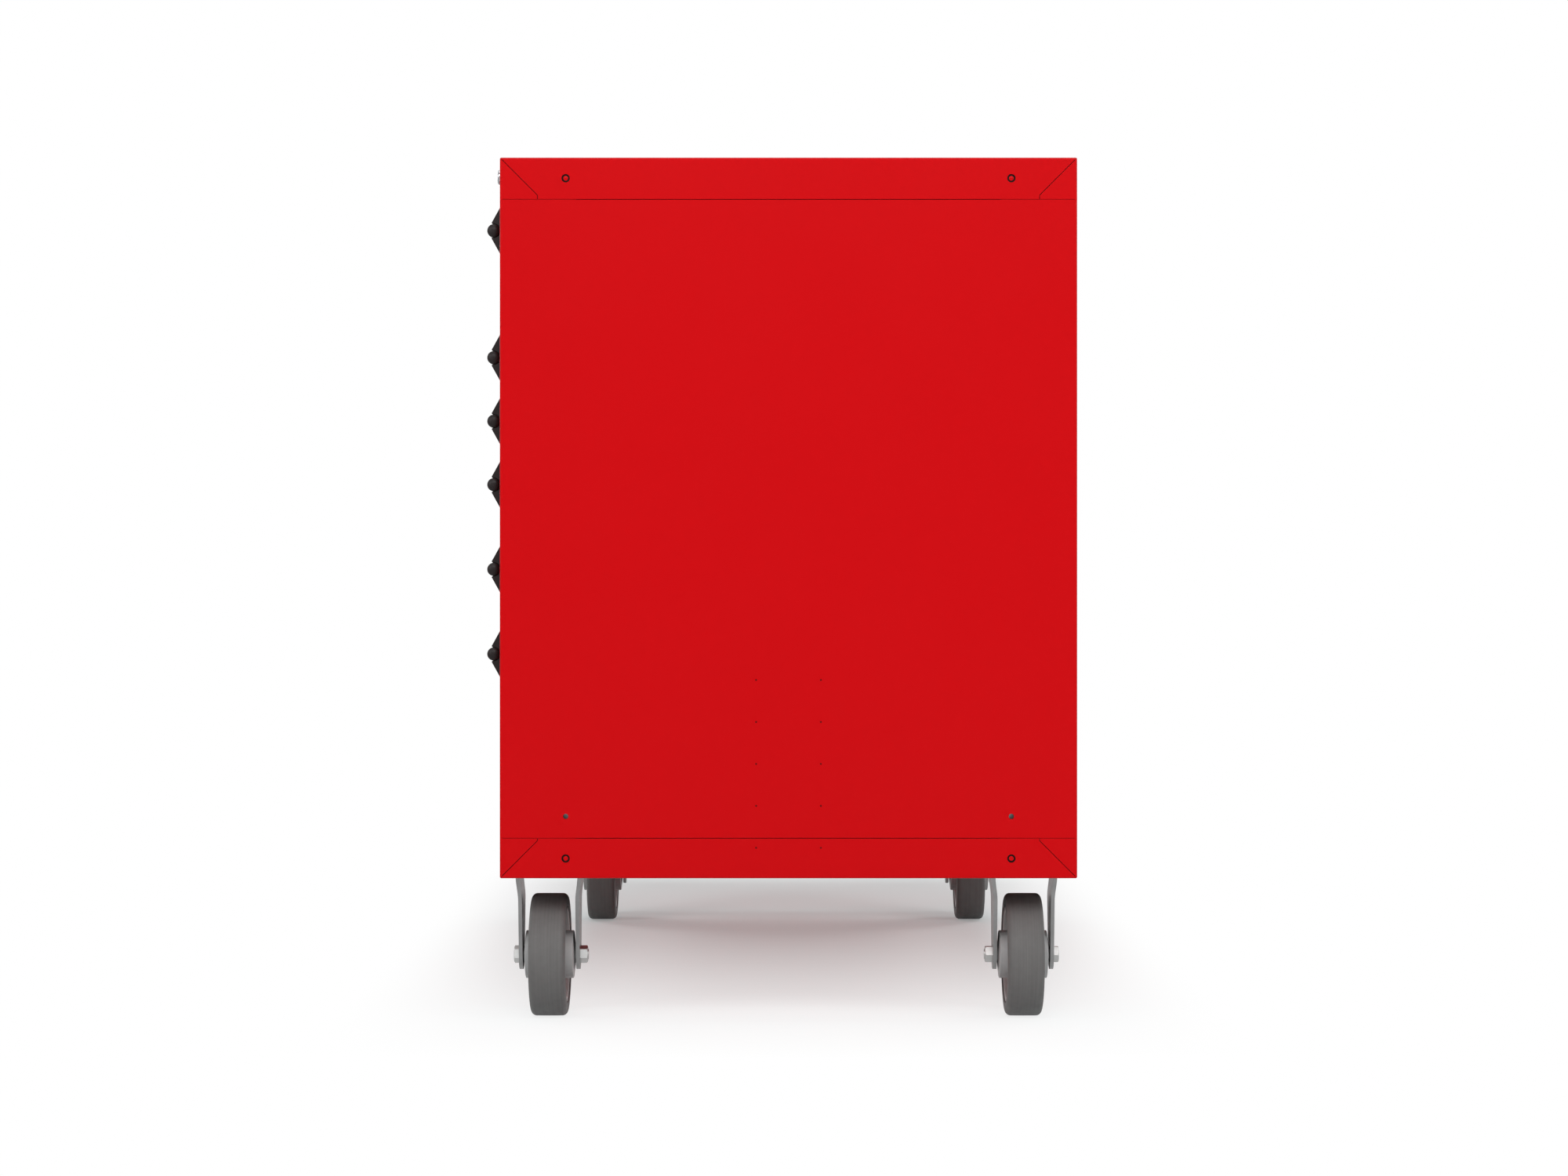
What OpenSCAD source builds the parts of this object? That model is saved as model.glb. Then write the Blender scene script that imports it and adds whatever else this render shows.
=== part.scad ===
/* [Cabinet body] */
// Width over the two side panels
body_w = 1422; // [1200:1:1700]
// Depth from the stiles to the back
body_d = 705; // [680:1:800]
// Height from the lower edge to the top
body_h = 880; // [840:1:960]
// Lower edge of the body above the floor
ground_clear = 179; // [177:0.5:183]
// Thickness of the body sheet
sheet_t = 2; // [1.6:0.1:2.4]
// Outside radius of the folded edges
bend_r = 2.5; // [1:0.1:3]
// Height of the band at the top
band_h = 50.8; // [49:0.1:54]
// Height of the band at the base
base_band_h = 48.7; // [48.5:0.1:54]
// Width of each front stile
stile_w = 22; // [20:0.5:26]
// Depth of the fold behind each stile
stile_fold = 30; // [29.5:0.1:31]
// Width of the flange at the back of a side panel
back_flange = 25; // [15:1:40]
// Depth of the lip behind the front of a band
lip_d = 18; // [10:1:26]
// Height of the strip of a side panel that lies behind a band
lap_h = 36; // [32:1:37]
// Width of the stile between the two banks
partition_w = 40; // [30:1:60]
// Height of the rail under the full-width drawer
cross_rail_h = 14; // [8:0.5:15]

/* [Side seams and holes] */
// Run of each mitred corner along the band
mitre_run = 46; // [30:1:48]
// Width of the mitre and seam grooves
groove_w = 0.8; // [0.4:0.1:1.2]
// Depth of the mitre grooves
groove_depth = 1; // [0.3:0.1:1]
// Length of the open stretch of each side seam
seam_open = 519; // [300:1:600]
// Depth of the closed stretches of each side seam
seam_shallow = 0.35; // [0.1:0.05:0.8]
// Distance of the ringed screws from the front and the back
screw_inset = 80.5; // [60:0.5:120]
// Diameter of the holes round the ringed screws
ring_hole_d = 10.2; // [8.5:0.1:12]
// Diameter of the ringed screw heads
ring_screw_d = 6.4; // [5.5:0.1:7.6]
// Diameter of the open side holes
side_hole_d = 6.5; // [4:0.1:9]
// Height of the open side holes above the lower edge
side_hole_up = 75.7; // [70:0.1:85]
// Diameter of the small side holes
pilot_d = 2.4; // [1.6:0.1:4]
// Spacing of the two columns of small holes
pilot_span = 79; // [50:0.5:120]
// Height of the lowest small holes above the lower edge
pilot_up = 37.4; // [30:0.1:40]
// Spacing of the rows of small holes
pilot_pitch = 51.2; // [50:0.1:54]
// Rows of small holes
pilot_rows = 5; // [3:1:6]

/* [Drawers] */
// Height of one drawer unit
unit_h = 26.05; // [25:0.05:27]
// Height of the full-width drawer in units
top_units = 6; // [5:1:7]
// Heights of the right bank's drawers in units, above a deep one that fills the rest
right_units = [3, 3, 4, 4]; // [3:1:5]
// Heights of the left bank's drawers in units, above a deep one that fills the rest
left_units = [6, 4, 4]; // [3:1:6]
// Gap round each drawer face
face_gap = 2; // [1.5:0.1:3]
// Depth of the folded face
face_d = 14; // [10:0.5:15]
// Thickness of the drawer sheet
tray_t = 1.5; // [1:0.1:2]
// Length of the trays from front to back
tray_len = 640; // [620:1:642]
// Rise of a tray's floor above the lower edge of its face
tray_up = 6; // [5:0.5:6.5]
// Drop of a tray's rim below the upper edge of its face
tray_down = 12; // [10:0.5:16]

/* [Slides] */
// Height of the fixed slide rails
slide_h = 40; // [36:0.5:42]
// Width that a slide takes up beside a tray
slide_w = 13.5; // [13.2:0.1:16]
// Length of the fixed slide rails
slide_len = 620; // [590:1:625]
// Height of a slide's centre above the lower edge of its drawer face
slide_up = 35; // [34:0.5:36]
// Thickness of the slide members
slide_t = 1.5; // [1.2:0.1:1.6]
// Running clearance in the slides
slide_clear = 0.5; // [0.3:0.05:0.7]
// Width of each slide post from front to back
post_w = 34; // [25:1:38]

/* [Pulls] */
// Reach of a pull in front of its drawer face
pull_out = 18.4; // [17:0.1:22]
// Half of a pull's height
pull_half = 28.8; // [26:0.1:30]
// Drop of a pull's centre below the upper edge of its face
pull_drop = 32.9; // [31:0.1:36]
// Gap from the end of a pull to the side edge of its face
pull_inset = 6; // [3:0.5:40]
// Radius of the rounded nose
nose_r = 8.2; // [7:0.1:8.4]
// Reach of the wedge behind the nose
wedge_out = 13; // [12:0.1:14.5]
// Half of the wedge's height at its outer end
wedge_half = 9.6; // [9:0.1:10]
// Thickness of the wedge at its upper and lower edges
wedge_edge = 2.4; // [2:0.1:5]
// Length of each end cap
cap_len = 14; // [10:0.5:30]
// Length of the domed end of the nose beyond the wedges
nose_dome = 4.5; // [2:0.5:6]
// Amount that the caps stand proud of the rail
cap_proud = 0.5; // [0.2:0.1:1]
// Wall of the pull rail
pull_wall = 2.4; // [1.8:0.1:2.8]

/* [Lock] */
// Distance of the lock from the right side
lock_inset = 60; // [50:1:120]
// Drop of the lock's centre below the top
lock_drop = 17; // [16.5:0.1:17.5]
// Diameter of the lock's collar
lock_d = 18.4; // [17.6:0.1:22]
// Reach of the lock in front of the top band
lock_out = 7.5; // [6:0.5:14]
// Diameter of the lock plug
plug_d = 12; // [10:0.1:12.5]
// Lift of the lock frame when the key is turned
lock_lift = 10; // [9:0.1:10.4]

/* [Casters] */
// Overall height of a caster
caster_h = 190.5; // [188.5:0.1:192]
// Diameter of the wheels
wheel_d = 152.4; // [140:0.1:154]
// Width of the tread
wheel_w = 45; // [40:0.1:54]
// Distance of the caster centres from the body's sides
caster_in_x = 95; // [90:1:150]
// Distance of the front casters' centres from the body's front
caster_in_front = 55; // [53.5:0.5:90]
// Distance of the rear casters' centres from the body's back
caster_in_back = 60; // [53.5:0.5:90]
// Length of a hub over its two bosses
hub_len = 62.2; // [58:0.1:64]
// Clear width between the fork legs
fork_gap = 66.2; // [65:0.1:68]
// Thickness of the fork legs
leg_t = 4.7; // [4:0.1:6]
// Radius of the rounded lower end of a leg
leg_end_r = 18.6; // [16:0.1:22]
// Diameter of the axle bolts
axle_d = 12.7; // [10:0.1:14]
// Trail of the swivel casters
trail = 38; // [25:0.5:44]
// Thickness of the caster plates
plate_t = 5; // [4:0.1:5.5]

/* [Hidden] */
$fn = 48;
RED = [0.80, 0.05, 0.08];
ZINC = [0.62, 0.63, 0.64];
BLACK = [0.08, 0.08, 0.08];
RUBBER = [0.40, 0.39, 0.38];
HUB_GREY = [0.62, 0.62, 0.61];
CHROME = [0.80, 0.80, 0.82];

half_w = body_w / 2;
front_y = (pull_out - body_d) / 2;
back_y = front_y + body_d;
base_z = ground_clear;
top_z = base_z + body_h;
band_top_z = top_z - band_h;
band_base_z = base_z + base_band_h;
floor_z = caster_h + sheet_t;
open_x = half_w - stile_w;
part_x = partition_w / 2;
mid_y = front_y + body_d / 2;
past = 1;
touch = 0.05;

// Drawers: name, left and right edge of the opening, upper and lower edge of the face
function total(list, n) = n == 0 ? 0 : list[n - 1] + total(list, n - 1);
first_top = band_top_z - face_gap;
bank_top = first_top - top_units * unit_h;
lowest = band_base_z + face_gap;
function bank_top_of(units, i) = bank_top - unit_h * total(units, i);
function bank_low_of(units, i) = i == len(units) ? lowest : bank_top_of(units, i + 1) + face_gap;
DRAWERS = concat(
    [["drawer_top", -open_x, open_x, first_top, bank_top + face_gap]],
    [for (i = [0 : len(right_units)])
        [str("drawer_right_", i + 1), part_x, open_x,
         bank_top_of(right_units, i), bank_low_of(right_units, i)]],
    [for (i = [0 : len(left_units)])
        [str("drawer_left_", i + 1), -open_x, -part_x,
         bank_top_of(left_units, i), bank_low_of(left_units, i)]]
);
function slide_z(d) = d[4] + slide_up;
function locks_right(d) = d[2] == open_x;
function locks_left(d) = d[1] == -open_x;

// Depths behind the front face
inner_gap = 2;
tab_gap = 1.5;
tab_y = front_y + stile_fold + tab_gap;
tab_t = 6;
post_gap = 0.5;
post_y = tab_y + tab_t + post_gap;
rail_y = front_y + stile_fold + past;
rear_post_in = 57;
rear_post_y = rail_y + slide_len - post_w - rear_post_in;
lap_in = 20;
cross_rail_y = front_y + face_d + inner_gap;
cross_rail_d = stile_fold - face_d - inner_gap - past;
cross_rail_z = bank_top - cross_rail_h / 2 - past;

// Slides: u runs from the opening's edge to the tray
lip_h = 3;
rail_to_tray = 2.5;
fixed_u = slide_w - rail_to_tray;
fixed_half = slide_h / 2;
carriage_u0 = slide_t + slide_clear;
carriage_u1 = fixed_u - slide_t - slide_clear;
carriage_half = fixed_half - slide_t - slide_clear;
carriage_short = 30;
carriage_len = slide_len - carriage_short;
runner_u = carriage_u0 + slide_t + slide_clear;
runner_half = carriage_half - slide_t - slide_clear;
runner_short = 40;
runner_len = tray_len - runner_short;

// Pulls
nose_y = nose_r - pull_out;
notch = 1.6;
lip_trim = 0.7;
crease_w = 0.6;
crease_depth = 2;

// Ringed screws
ring_head_t = 1.6;
ring_flange_clear = 0.15;
ring_flange_d = ring_hole_d - 2 * ring_flange_clear;
ring_flange_t = 0.4;
ring_head_over = 1.1;
ring_shank_d = ring_screw_d - 2 * ring_head_over;
ring_shank_len = 4 * sheet_t;
ring_shank_clear = 0.1;

// Lock frame
tab_h = 6;
tab_len = 12.5;
bar_w = 12;
bar_gap = 2.5;
bar_x = open_x + bar_gap;
link_t = 3;
link_h = 14;
catch_len = 9.5;
catch_t = 6;
catch_y = tab_y + tab_t + tab_gap;
catch_drop = 7.5;
catch_low = slide_up - slide_h / 2 - catch_drop;
lock_x = half_w - lock_inset;
lock_z = top_z - lock_drop;
pin_arm = lock_lift / 2 * sqrt(2);
pin_d = 4;
pin_boss_d = 7;
cam_over = 1;
cam_d = plug_d + 2 * cam_over;
pin_clear = 0.5;
cam_t = 3;
cam_gap = 0.4;
cam_room = 3.5;
barrel_d = 16;
barrel_clear = 0.1;
barrel_end = tab_y - cam_t - cam_room;
lock_round = 2.4;
lock_nut_d = 24;
lock_nut_t = 5;
key_w = 1.6;
key_h = 7;

// Casters
wheel_r = wheel_d / 2;
caster_x = half_w - caster_in_x;
caster_ys = [front_y + caster_in_front, back_y - caster_in_back];
plate_x = 114.3;
plate_y = 101.6;
plate_corner = 6;
plate_low = caster_h - plate_t;
bolt_x = 92;
bolt_y = 66.7;
bolt_d = 9.5;
bolt_clear = 0.2;
bolt_hex = 14.3;
bolt_head_t = 6;
backing_t = 4;
backing_y = plate_y - 2 * inner_gap;
hex_af = 19;
head_t = 7;
nut_t = 9.5;
bolt_end = 0.8;
front_bolt_turn = 10;
rear_bolt_turn = 30;
axle_run = 0.05;
axle_hole_clear = 0.15;
axle_hole_d = axle_d + 2 * axle_hole_clear;
leg_out = fork_gap / 2 + leg_t;
rigid_root_half = 34;
flare = 2.8;
flare_h = 32;
flare_steps = 10;
leg_bend = 4;
tyre_t = 16;
tyre_corner = 6.5;
hub_boss_r = 29.7;
hub_flat_r = 17;
hub_fall = 1.4;
hub_sleeve_r = 10.5;
hub_sleeve_gap = 0.3;
race_r = 33;
race_h = 6.5;
race_wall = 6;
race_gap = 0.3;
crown_half = 30;
crown_t = 6;
crown_drop = 15.5;
crown_z = plate_low - crown_drop;
kingpin_d = 16;
kingpin_head_d = 26;
kingpin_head_t = 4;
rigid_wheel_x = caster_x;
swivel_wheel_x = -caster_x + trail;

// Box between two opposite corners
module box(x0, x1, y0, y1, z0, z1) {
    translate([x0, y0, z0]) cube([x1 - x0, y1 - y0, z1 - z0]);
}

// Rectangle with four rounded corners
module soft_rect(x0, x1, y0, y1, r) {
    translate([x0 + r, y0]) square([x1 - x0 - 2 * r, y1 - y0]);
    translate([x0, y0 + r]) square([x1 - x0, y1 - y0 - 2 * r]);
    for (x = [x0 + r, x1 - r], y = [y0 + r, y1 - r]) translate([x, y]) circle(r);
}

// Box with all its edges rounded
module soft_box(x0, x1, y0, y1, z0, z1, r) {
    intersection() {
        translate([0, 0, z0]) linear_extrude(z1 - z0) soft_rect(x0, x1, y0, y1, r);
        translate([0, y1, 0]) rotate([90, 0, 0]) linear_extrude(y1 - y0) soft_rect(x0, x1, z0, z1, r);
        translate([x0, 0, 0]) rotate([90, 0, 90]) linear_extrude(x1 - x0) soft_rect(y0, y1, z0, z1, r);
    }
}

// Outline in the Y and Z plane, drawn out along X
module along_x(x0, x1) {
    translate([x0, 0, 0]) rotate([90, 0, 90]) linear_extrude(x1 - x0) children();
}

// Cylinder along X or along Y
module rod_x(x0, x1, y, z, d) {
    translate([x0, y, z]) rotate([0, 90, 0]) cylinder(d = d, h = x1 - x0);
}
module rod_y(y0, y1, x, z, d) {
    translate([x, y0, z]) rotate([-90, 0, 0]) cylinder(d = d, h = y1 - y0);
}

// Hexagon along Y, with a corner at the top where it isn't turned
module hex_y(y0, y1, x, z, af, turn = 0) {
    translate([x, y0, z]) rotate([-90, 0, 0]) rotate([0, 0, 90 + turn])
        cylinder(d = af / cos(30), h = y1 - y0, $fn = 6);
}

module both_sides() {
    children();
    mirror([1, 0, 0]) children();
}

// Groove along a mitred corner of the right-hand band, with the short relief at its inner end
module mitre_groove(y, z, along, up) {
    relief = (up > 0 ? base_band_h : band_h) - mitre_run;
    reach_y = y + along * mitre_run;
    reach_z = z + up * mitre_run;
    translate([half_w - groove_depth, y, z]) rotate([atan2(up, along), 0, 0])
        translate([0, -past, -groove_w / 2])
            cube([groove_depth + past, mitre_run * sqrt(2) + past, groove_w]);
    translate([half_w - groove_depth, reach_y - groove_w / 2, min(reach_z, reach_z + up * (relief + past))])
        cube([groove_depth + past, groove_w, relief + past]);
}

// Folded band of the top and the base: a shell with rounded outer edges, open towards the drawers
module band_shell(z0, z1, inner_z0, inner_z1, round_z0, round_z1) {
    difference() {
        intersection() {
            soft_box(-half_w, half_w, front_y, back_y, round_z0, round_z1, bend_r);
            box(-half_w, half_w, front_y, back_y, z0, z1);
        }
        box(-half_w + sheet_t, half_w - sheet_t, front_y + sheet_t, back_y - sheet_t, inner_z0, inner_z1);
    }
}

// Holes for the two ringed screws in each side of a band
module ring_holes(z) {
    for (y = [front_y + screw_inset, back_y - screw_inset])
        rod_x(-half_w - past, half_w + past, y, z, ring_hole_d);
}

module top_pan() {
    color(RED) difference() {
        union() {
            band_shell(band_top_z, top_z, band_top_z - past, top_z - sheet_t,
                       band_top_z - 2 * bend_r - past, top_z);
            box(-half_w + sheet_t, half_w - sheet_t, front_y + sheet_t, front_y + lip_d,
                band_top_z, band_top_z + sheet_t);
        }
        both_sides() {
            mitre_groove(front_y, top_z, 1, -1);
            mitre_groove(back_y, top_z, -1, -1);
        }
        ring_holes(top_z - band_h / 2);
        rod_y(front_y - past, front_y + sheet_t + past, lock_x, lock_z, barrel_d);
    }
}

// Holes of the four caster bolts at each corner
module caster_bolt_holes(d, z0, z1) {
    for (side = [-1, 1], y = caster_ys, bx = [-1, 1], by = [-1, 1])
        translate([side * caster_x + bx * bolt_x / 2, y + by * bolt_y / 2, z0]) cylinder(d = d, h = z1 - z0);
}

module base_frame() {
    color(RED) difference() {
        union() {
            band_shell(base_z, band_base_z, base_z - past, band_base_z + past,
                       base_z, band_base_z + 2 * bend_r + past);
            box(-half_w + past, half_w - past, front_y + past, back_y - past, caster_h, floor_z);
            box(-half_w + sheet_t, half_w - sheet_t, front_y + sheet_t, front_y + lip_d,
                band_base_z - sheet_t, band_base_z);
        }
        both_sides() {
            mitre_groove(front_y, base_z, 1, 1);
            mitre_groove(back_y, base_z, -1, 1);
        }
        ring_holes(base_z + base_band_h / 2);
        pilot_holes();
        caster_bolt_holes(bolt_d, caster_h - past, floor_z + past);
    }
}

// Two columns of small holes through both sides
module pilot_holes() {
    for (row = [0 : pilot_rows - 1], y = [mid_y - pilot_span / 2, mid_y + pilot_span / 2], side = [-1, 1])
        rod_x(side * half_w - 2 * sheet_t - past, side * half_w + 2 * sheet_t + past,
              y, base_z + pilot_up + row * pilot_pitch, pilot_d);
}

// Grooves of the two seams where the right side panel meets the bands
module seam_grooves() {
    for (z = [band_base_z, band_top_z - groove_w]) {
        box(half_w - sheet_t - touch, half_w + past, mid_y - seam_open / 2, mid_y + seam_open / 2,
            z, z + groove_w);
        box(half_w - seam_shallow, half_w + past, front_y - past, back_y + past, z, z + groove_w);
    }
}

// Right side panel: outer sheet with its front stile, back flange and the laps behind the bands
module side_panel() {
    difference() {
        union() {
            translate([0, 0, band_base_z]) linear_extrude(band_top_z - band_base_z) intersection() {
                soft_rect(-half_w, half_w, front_y, back_y, bend_r);
                union() {
                    translate([half_w - sheet_t, front_y]) square([sheet_t, body_d]);
                    translate([half_w - back_flange, back_y - sheet_t]) square([back_flange, sheet_t]);
                    difference() {
                        soft_rect(open_x, half_w + 2 * bend_r,
                                  front_y, front_y + stile_fold + 2 * bend_r, bend_r);
                        translate([open_x + sheet_t, front_y + sheet_t]) square([stile_w, stile_fold * 2]);
                        translate([open_x - past, front_y + stile_fold]) square([stile_w, stile_fold]);
                    }
                }
            }
            for (z = [floor_z + past, band_top_z - lap_h])
                box(half_w - 2 * sheet_t, half_w - sheet_t, front_y + stile_fold + lap_in,
                    back_y - back_flange - inner_gap, z, z + 2 * lap_h);
        }
        seam_grooves();
        pilot_holes();
        for (y = [front_y + screw_inset, back_y - screw_inset]) {
            rod_x(half_w - 3 * sheet_t, half_w + past, y, base_z + side_hole_up, side_hole_d);
            for (z = [base_z + base_band_h / 2, top_z - band_h / 2])
                rod_x(half_w - 3 * sheet_t, half_w - sheet_t + touch, y, z,
                      ring_shank_d + 2 * ring_shank_clear);
        }
    }
}

module side_panel_right() {
    color(RED) side_panel();
}

module side_panel_left() {
    color(RED) mirror([1, 0, 0]) side_panel();
}

module back_panel() {
    gap = 0.5;
    color(RED) box(-half_w + 2 * sheet_t + gap, half_w - 2 * sheet_t - gap,
                   back_y - 2 * sheet_t, back_y - sheet_t,
        floor_z + gap, top_z - sheet_t - gap);
}

// Partition folded from one sheet: a front stile with a wall on each side
module centre_partition() {
    end_gap = 0.2;
    walls_y = front_y + lip_d + inner_gap;
    end_y = back_y - 2 * sheet_t - end_gap;
    color(RED) difference() {
        union() {
            translate([0, 0, band_base_z]) linear_extrude(bank_top - band_base_z) intersection() {
                soft_rect(-part_x, part_x, front_y, end_y, bend_r);
                translate([-part_x, front_y]) square([partition_w, face_d]);
            }
            translate([0, 0, band_base_z]) linear_extrude(cross_rail_z - band_base_z)
                soft_rect(-part_x, part_x, front_y, end_y, bend_r);
            box(-part_x, part_x, walls_y, end_y - bend_r, floor_z, band_base_z + past);
        }
        box(-part_x + sheet_t, part_x - sheet_t, front_y + sheet_t, back_y, floor_z - past, top_z);
        box(-half_w, half_w, end_y - bend_r, back_y, floor_z - past, top_z);
    }
}

// Channel across the front, closed towards the drawer faces
module cross_rail() {
    color(RED) difference() {
        box(-open_x, open_x, cross_rail_y, cross_rail_y + cross_rail_d,
            cross_rail_z, cross_rail_z + cross_rail_h);
        box(-open_x - past, open_x + past, cross_rail_y + sheet_t, cross_rail_y + cross_rail_d + past,
            cross_rail_z + sheet_t, cross_rail_z + cross_rail_h - sheet_t);
    }
}

// Upright channels inside each side that carry the fixed rails
module slide_posts() {
    back_x = half_w - 2 * sheet_t;
    z0 = floor_z + past;
    z1 = band_top_z - 2 * past;
    color(ZINC) both_sides() for (y = [post_y, rear_post_y]) difference() {
        box(open_x, back_x, y, y + post_w, z0, z1);
        box(open_x + sheet_t, back_x + past, y + sheet_t, y + post_w - sheet_t, z0 - past, z1 + past);
    }
}

// Channel section: the web stands at u0, the lips at u1
module slide_channel(u0, u1, half_h, lip) {
    difference() {
        translate([u0, -half_h]) square([u1 - u0, 2 * half_h]);
        translate([u0 + slide_t, -half_h + slide_t]) square([u1 - u0 - 2 * slide_t, 2 * (half_h - slide_t)]);
        translate([u1 - slide_t - touch, -half_h + slide_t + lip])
            square([2 * slide_t, 2 * (half_h - slide_t - lip)]);
    }
}

// Both slides of a drawer: children give the section, with u running from the opening's edge to the tray
module slide_pair(d, y0, length) {
    translate([d[1], y0 + length, slide_z(d)]) rotate([90, 0, 0]) linear_extrude(length) children();
    translate([d[2], y0, slide_z(d)]) rotate([90, 0, 180]) linear_extrude(length) children();
}

module fixed_rails() {
    color(ZINC) for (d = DRAWERS)
        slide_pair(d, rail_y, slide_len) slide_channel(0, fixed_u, fixed_half, lip_h);
}

module drawer_carriage(d) {
    color(ZINC) slide_pair(d, rail_y + past, carriage_len)
        slide_channel(carriage_u0, carriage_u1, carriage_half, 2 * lip_h);
}

// Runner section: a plate inside the carriage on a web that reaches the tray's wall
module runner_section() {
    web_half = runner_half - 2 * lip_h;
    translate([runner_u, -runner_half]) square([slide_t, 2 * runner_half]);
    difference() {
        translate([runner_u, -web_half]) square([slide_w - runner_u + touch, 2 * web_half]);
        translate([runner_u + slide_t, -web_half + slide_t]) square([slide_w, 2 * (web_half - slide_t)]);
    }
}

// Folded tray with its face, runners and the catches that the lock tabs stand before
module drawer_tray(d) {
    x0 = d[1] + face_gap;
    x1 = d[2] - face_gap;
    t0 = d[1] + slide_w;
    t1 = d[2] - slide_w;
    y0 = front_y + face_d;
    y1 = y0 + tray_len;
    z0 = d[4] + tray_up;
    z1 = d[3] - tray_down;
    catch_z = d[4] + catch_low;
    color(RED) union() {
        difference() {
            intersection() {
                soft_box(x0, x1, front_y, y0 + 2 * bend_r, d[4], d[3], bend_r);
                box(x0, x1, front_y, y0, d[4], d[3]);
            }
            box(x0 + tray_t, x1 - tray_t, front_y + tray_t, y0 + past, d[4] + tray_t, d[3] - tray_t);
        }
        box(t0, t1, y0 - tray_t, y0, d[4] + touch, d[3] - tray_t + touch);
        difference() {
            box(t0, t1, y0 - touch, y1, z0, z1);
            box(t0 + tray_t, t1 - tray_t, y0, y1 - tray_t, z0 + tray_t, z1 + past);
        }
        slide_pair(d, y0, runner_len) runner_section();
        if (locks_right(d))
            box(t1 - touch, t1 + catch_len, catch_y, catch_y + catch_t, catch_z, catch_z + tab_h);
        if (locks_left(d))
            box(t0 - catch_len, t0 + touch, catch_y, catch_y + catch_t, catch_z, catch_z + tab_h);
    }
}

// Wedge section of an end cap, notched where the wedges meet the nose, with the drawer face at zero
module cap_section() {
    notch_y = notch - wedge_out;
    notch_half = wedge_half - notch;
    polygon([[0, pull_half], [-wedge_edge, pull_half], [-wedge_out, wedge_half], [notch_y, notch_half],
             [notch_y, -notch_half], [-wedge_out, -wedge_half], [-wedge_edge, -pull_half], [0, -pull_half]]);
}

// End cap with its end at zero: wedges above and below a round nose that ends in a dome,
// and a crease round the nose
module pull_cap() {
    difference() {
        along_x(nose_dome, cap_len) cap_section();
        rod_x(nose_dome - past, nose_dome + crease_depth, nose_y, 0, 2 * (nose_r + crease_w));
    }
    translate([0, nose_y, 0]) rotate([0, 90, 0]) rotate_extrude() polygon(concat(
        [for (a = [0:15:90]) [nose_r * sin(a), nose_dome * (1 - cos(a))]],
        [[nose_r, cap_len], [0, cap_len]]));
}

// Rail section: a hollow wedge on top, a rounded lip in front, and the finger hollow below and behind the lip
module rail_section() {
    out = wedge_out - cap_proud;
    high = pull_half - cap_proud;
    low = wedge_half - pull_wall;
    hollow_top = 0.5;
    lip_r = nose_r - cap_proud;
    lip_end = nose_y - lip_trim;
    difference() {
        polygon([[0, high], [-wedge_edge, high], [-out, wedge_half], [-out, low], [0, low]]);
        polygon([[-pull_wall, high - 3 * pull_wall], [-pull_wall - hollow_top, high - 3 * pull_wall],
                 [-out + 2 * pull_wall, wedge_half + pull_wall / 2],
                 [-pull_wall, wedge_half + pull_wall / 2]]);
    }
    difference() {
        translate([nose_y, 0]) circle(lip_r);
        translate([nose_y, 0]) circle(lip_r - pull_wall);
        translate([lip_end, -2 * nose_r]) square(4 * nose_r);
    }
    translate([-out, low - pull_wall / 2]) square([out + lip_end + touch, pull_wall]);
}

module drawer_pull(d) {
    x0 = d[1] + face_gap + pull_inset;
    x1 = d[2] - face_gap - pull_inset;
    gap = 0.1;
    color(BLACK) translate([0, front_y, d[3] - pull_drop]) {
        translate([x0, 0, 0]) pull_cap();
        along_x(x0 + cap_len + gap, x1 - cap_len - gap) rail_section();
        translate([x1, 0, 0]) mirror([1, 0, 0]) pull_cap();
    }
}

// Painted screws that stand in the ringed holes and hold the laps
module ringed_screws() {
    seat_x = half_w - sheet_t;
    color(RED) both_sides()
        for (y = [front_y + screw_inset, back_y - screw_inset],
             z = [base_z + base_band_h / 2, top_z - band_h / 2]) {
            rod_x(seat_x, seat_x + ring_head_t, y, z, ring_screw_d);
            rod_x(seat_x, seat_x + ring_flange_t, y, z, ring_flange_d);
            rod_x(seat_x - ring_shank_len, seat_x + touch, y, z, ring_shank_d);
        }
}

// Collar and barrel of the lock, with the nut behind the band
module lock_housing() {
    nut_y = front_y + sheet_t;
    color(CHROME) {
        difference() {
            union() {
                translate([lock_x, front_y, lock_z]) rotate([90, 0, 0]) rotate_extrude() polygon(concat(
                    [[0, 0], [lock_d / 2, 0]],
                    [for (a = [0:15:90])
                        [lock_d / 2 - lock_round * (1 - cos(a)), lock_out - lock_round * (1 - sin(a))]],
                    [[0, lock_out]]));
                rod_y(front_y - touch, barrel_end, lock_x, lock_z, barrel_d - 2 * barrel_clear);
            }
            rod_y(front_y - lock_out - past, barrel_end + past, lock_x, lock_z, plug_d + 2 * axle_run);
        }
        difference() {
            hex_y(nut_y + touch, nut_y + lock_nut_t, lock_x, lock_z, lock_nut_d);
            rod_y(front_y, nut_y + lock_nut_t + past, lock_x, lock_z, barrel_d);
        }
    }
}

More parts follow.
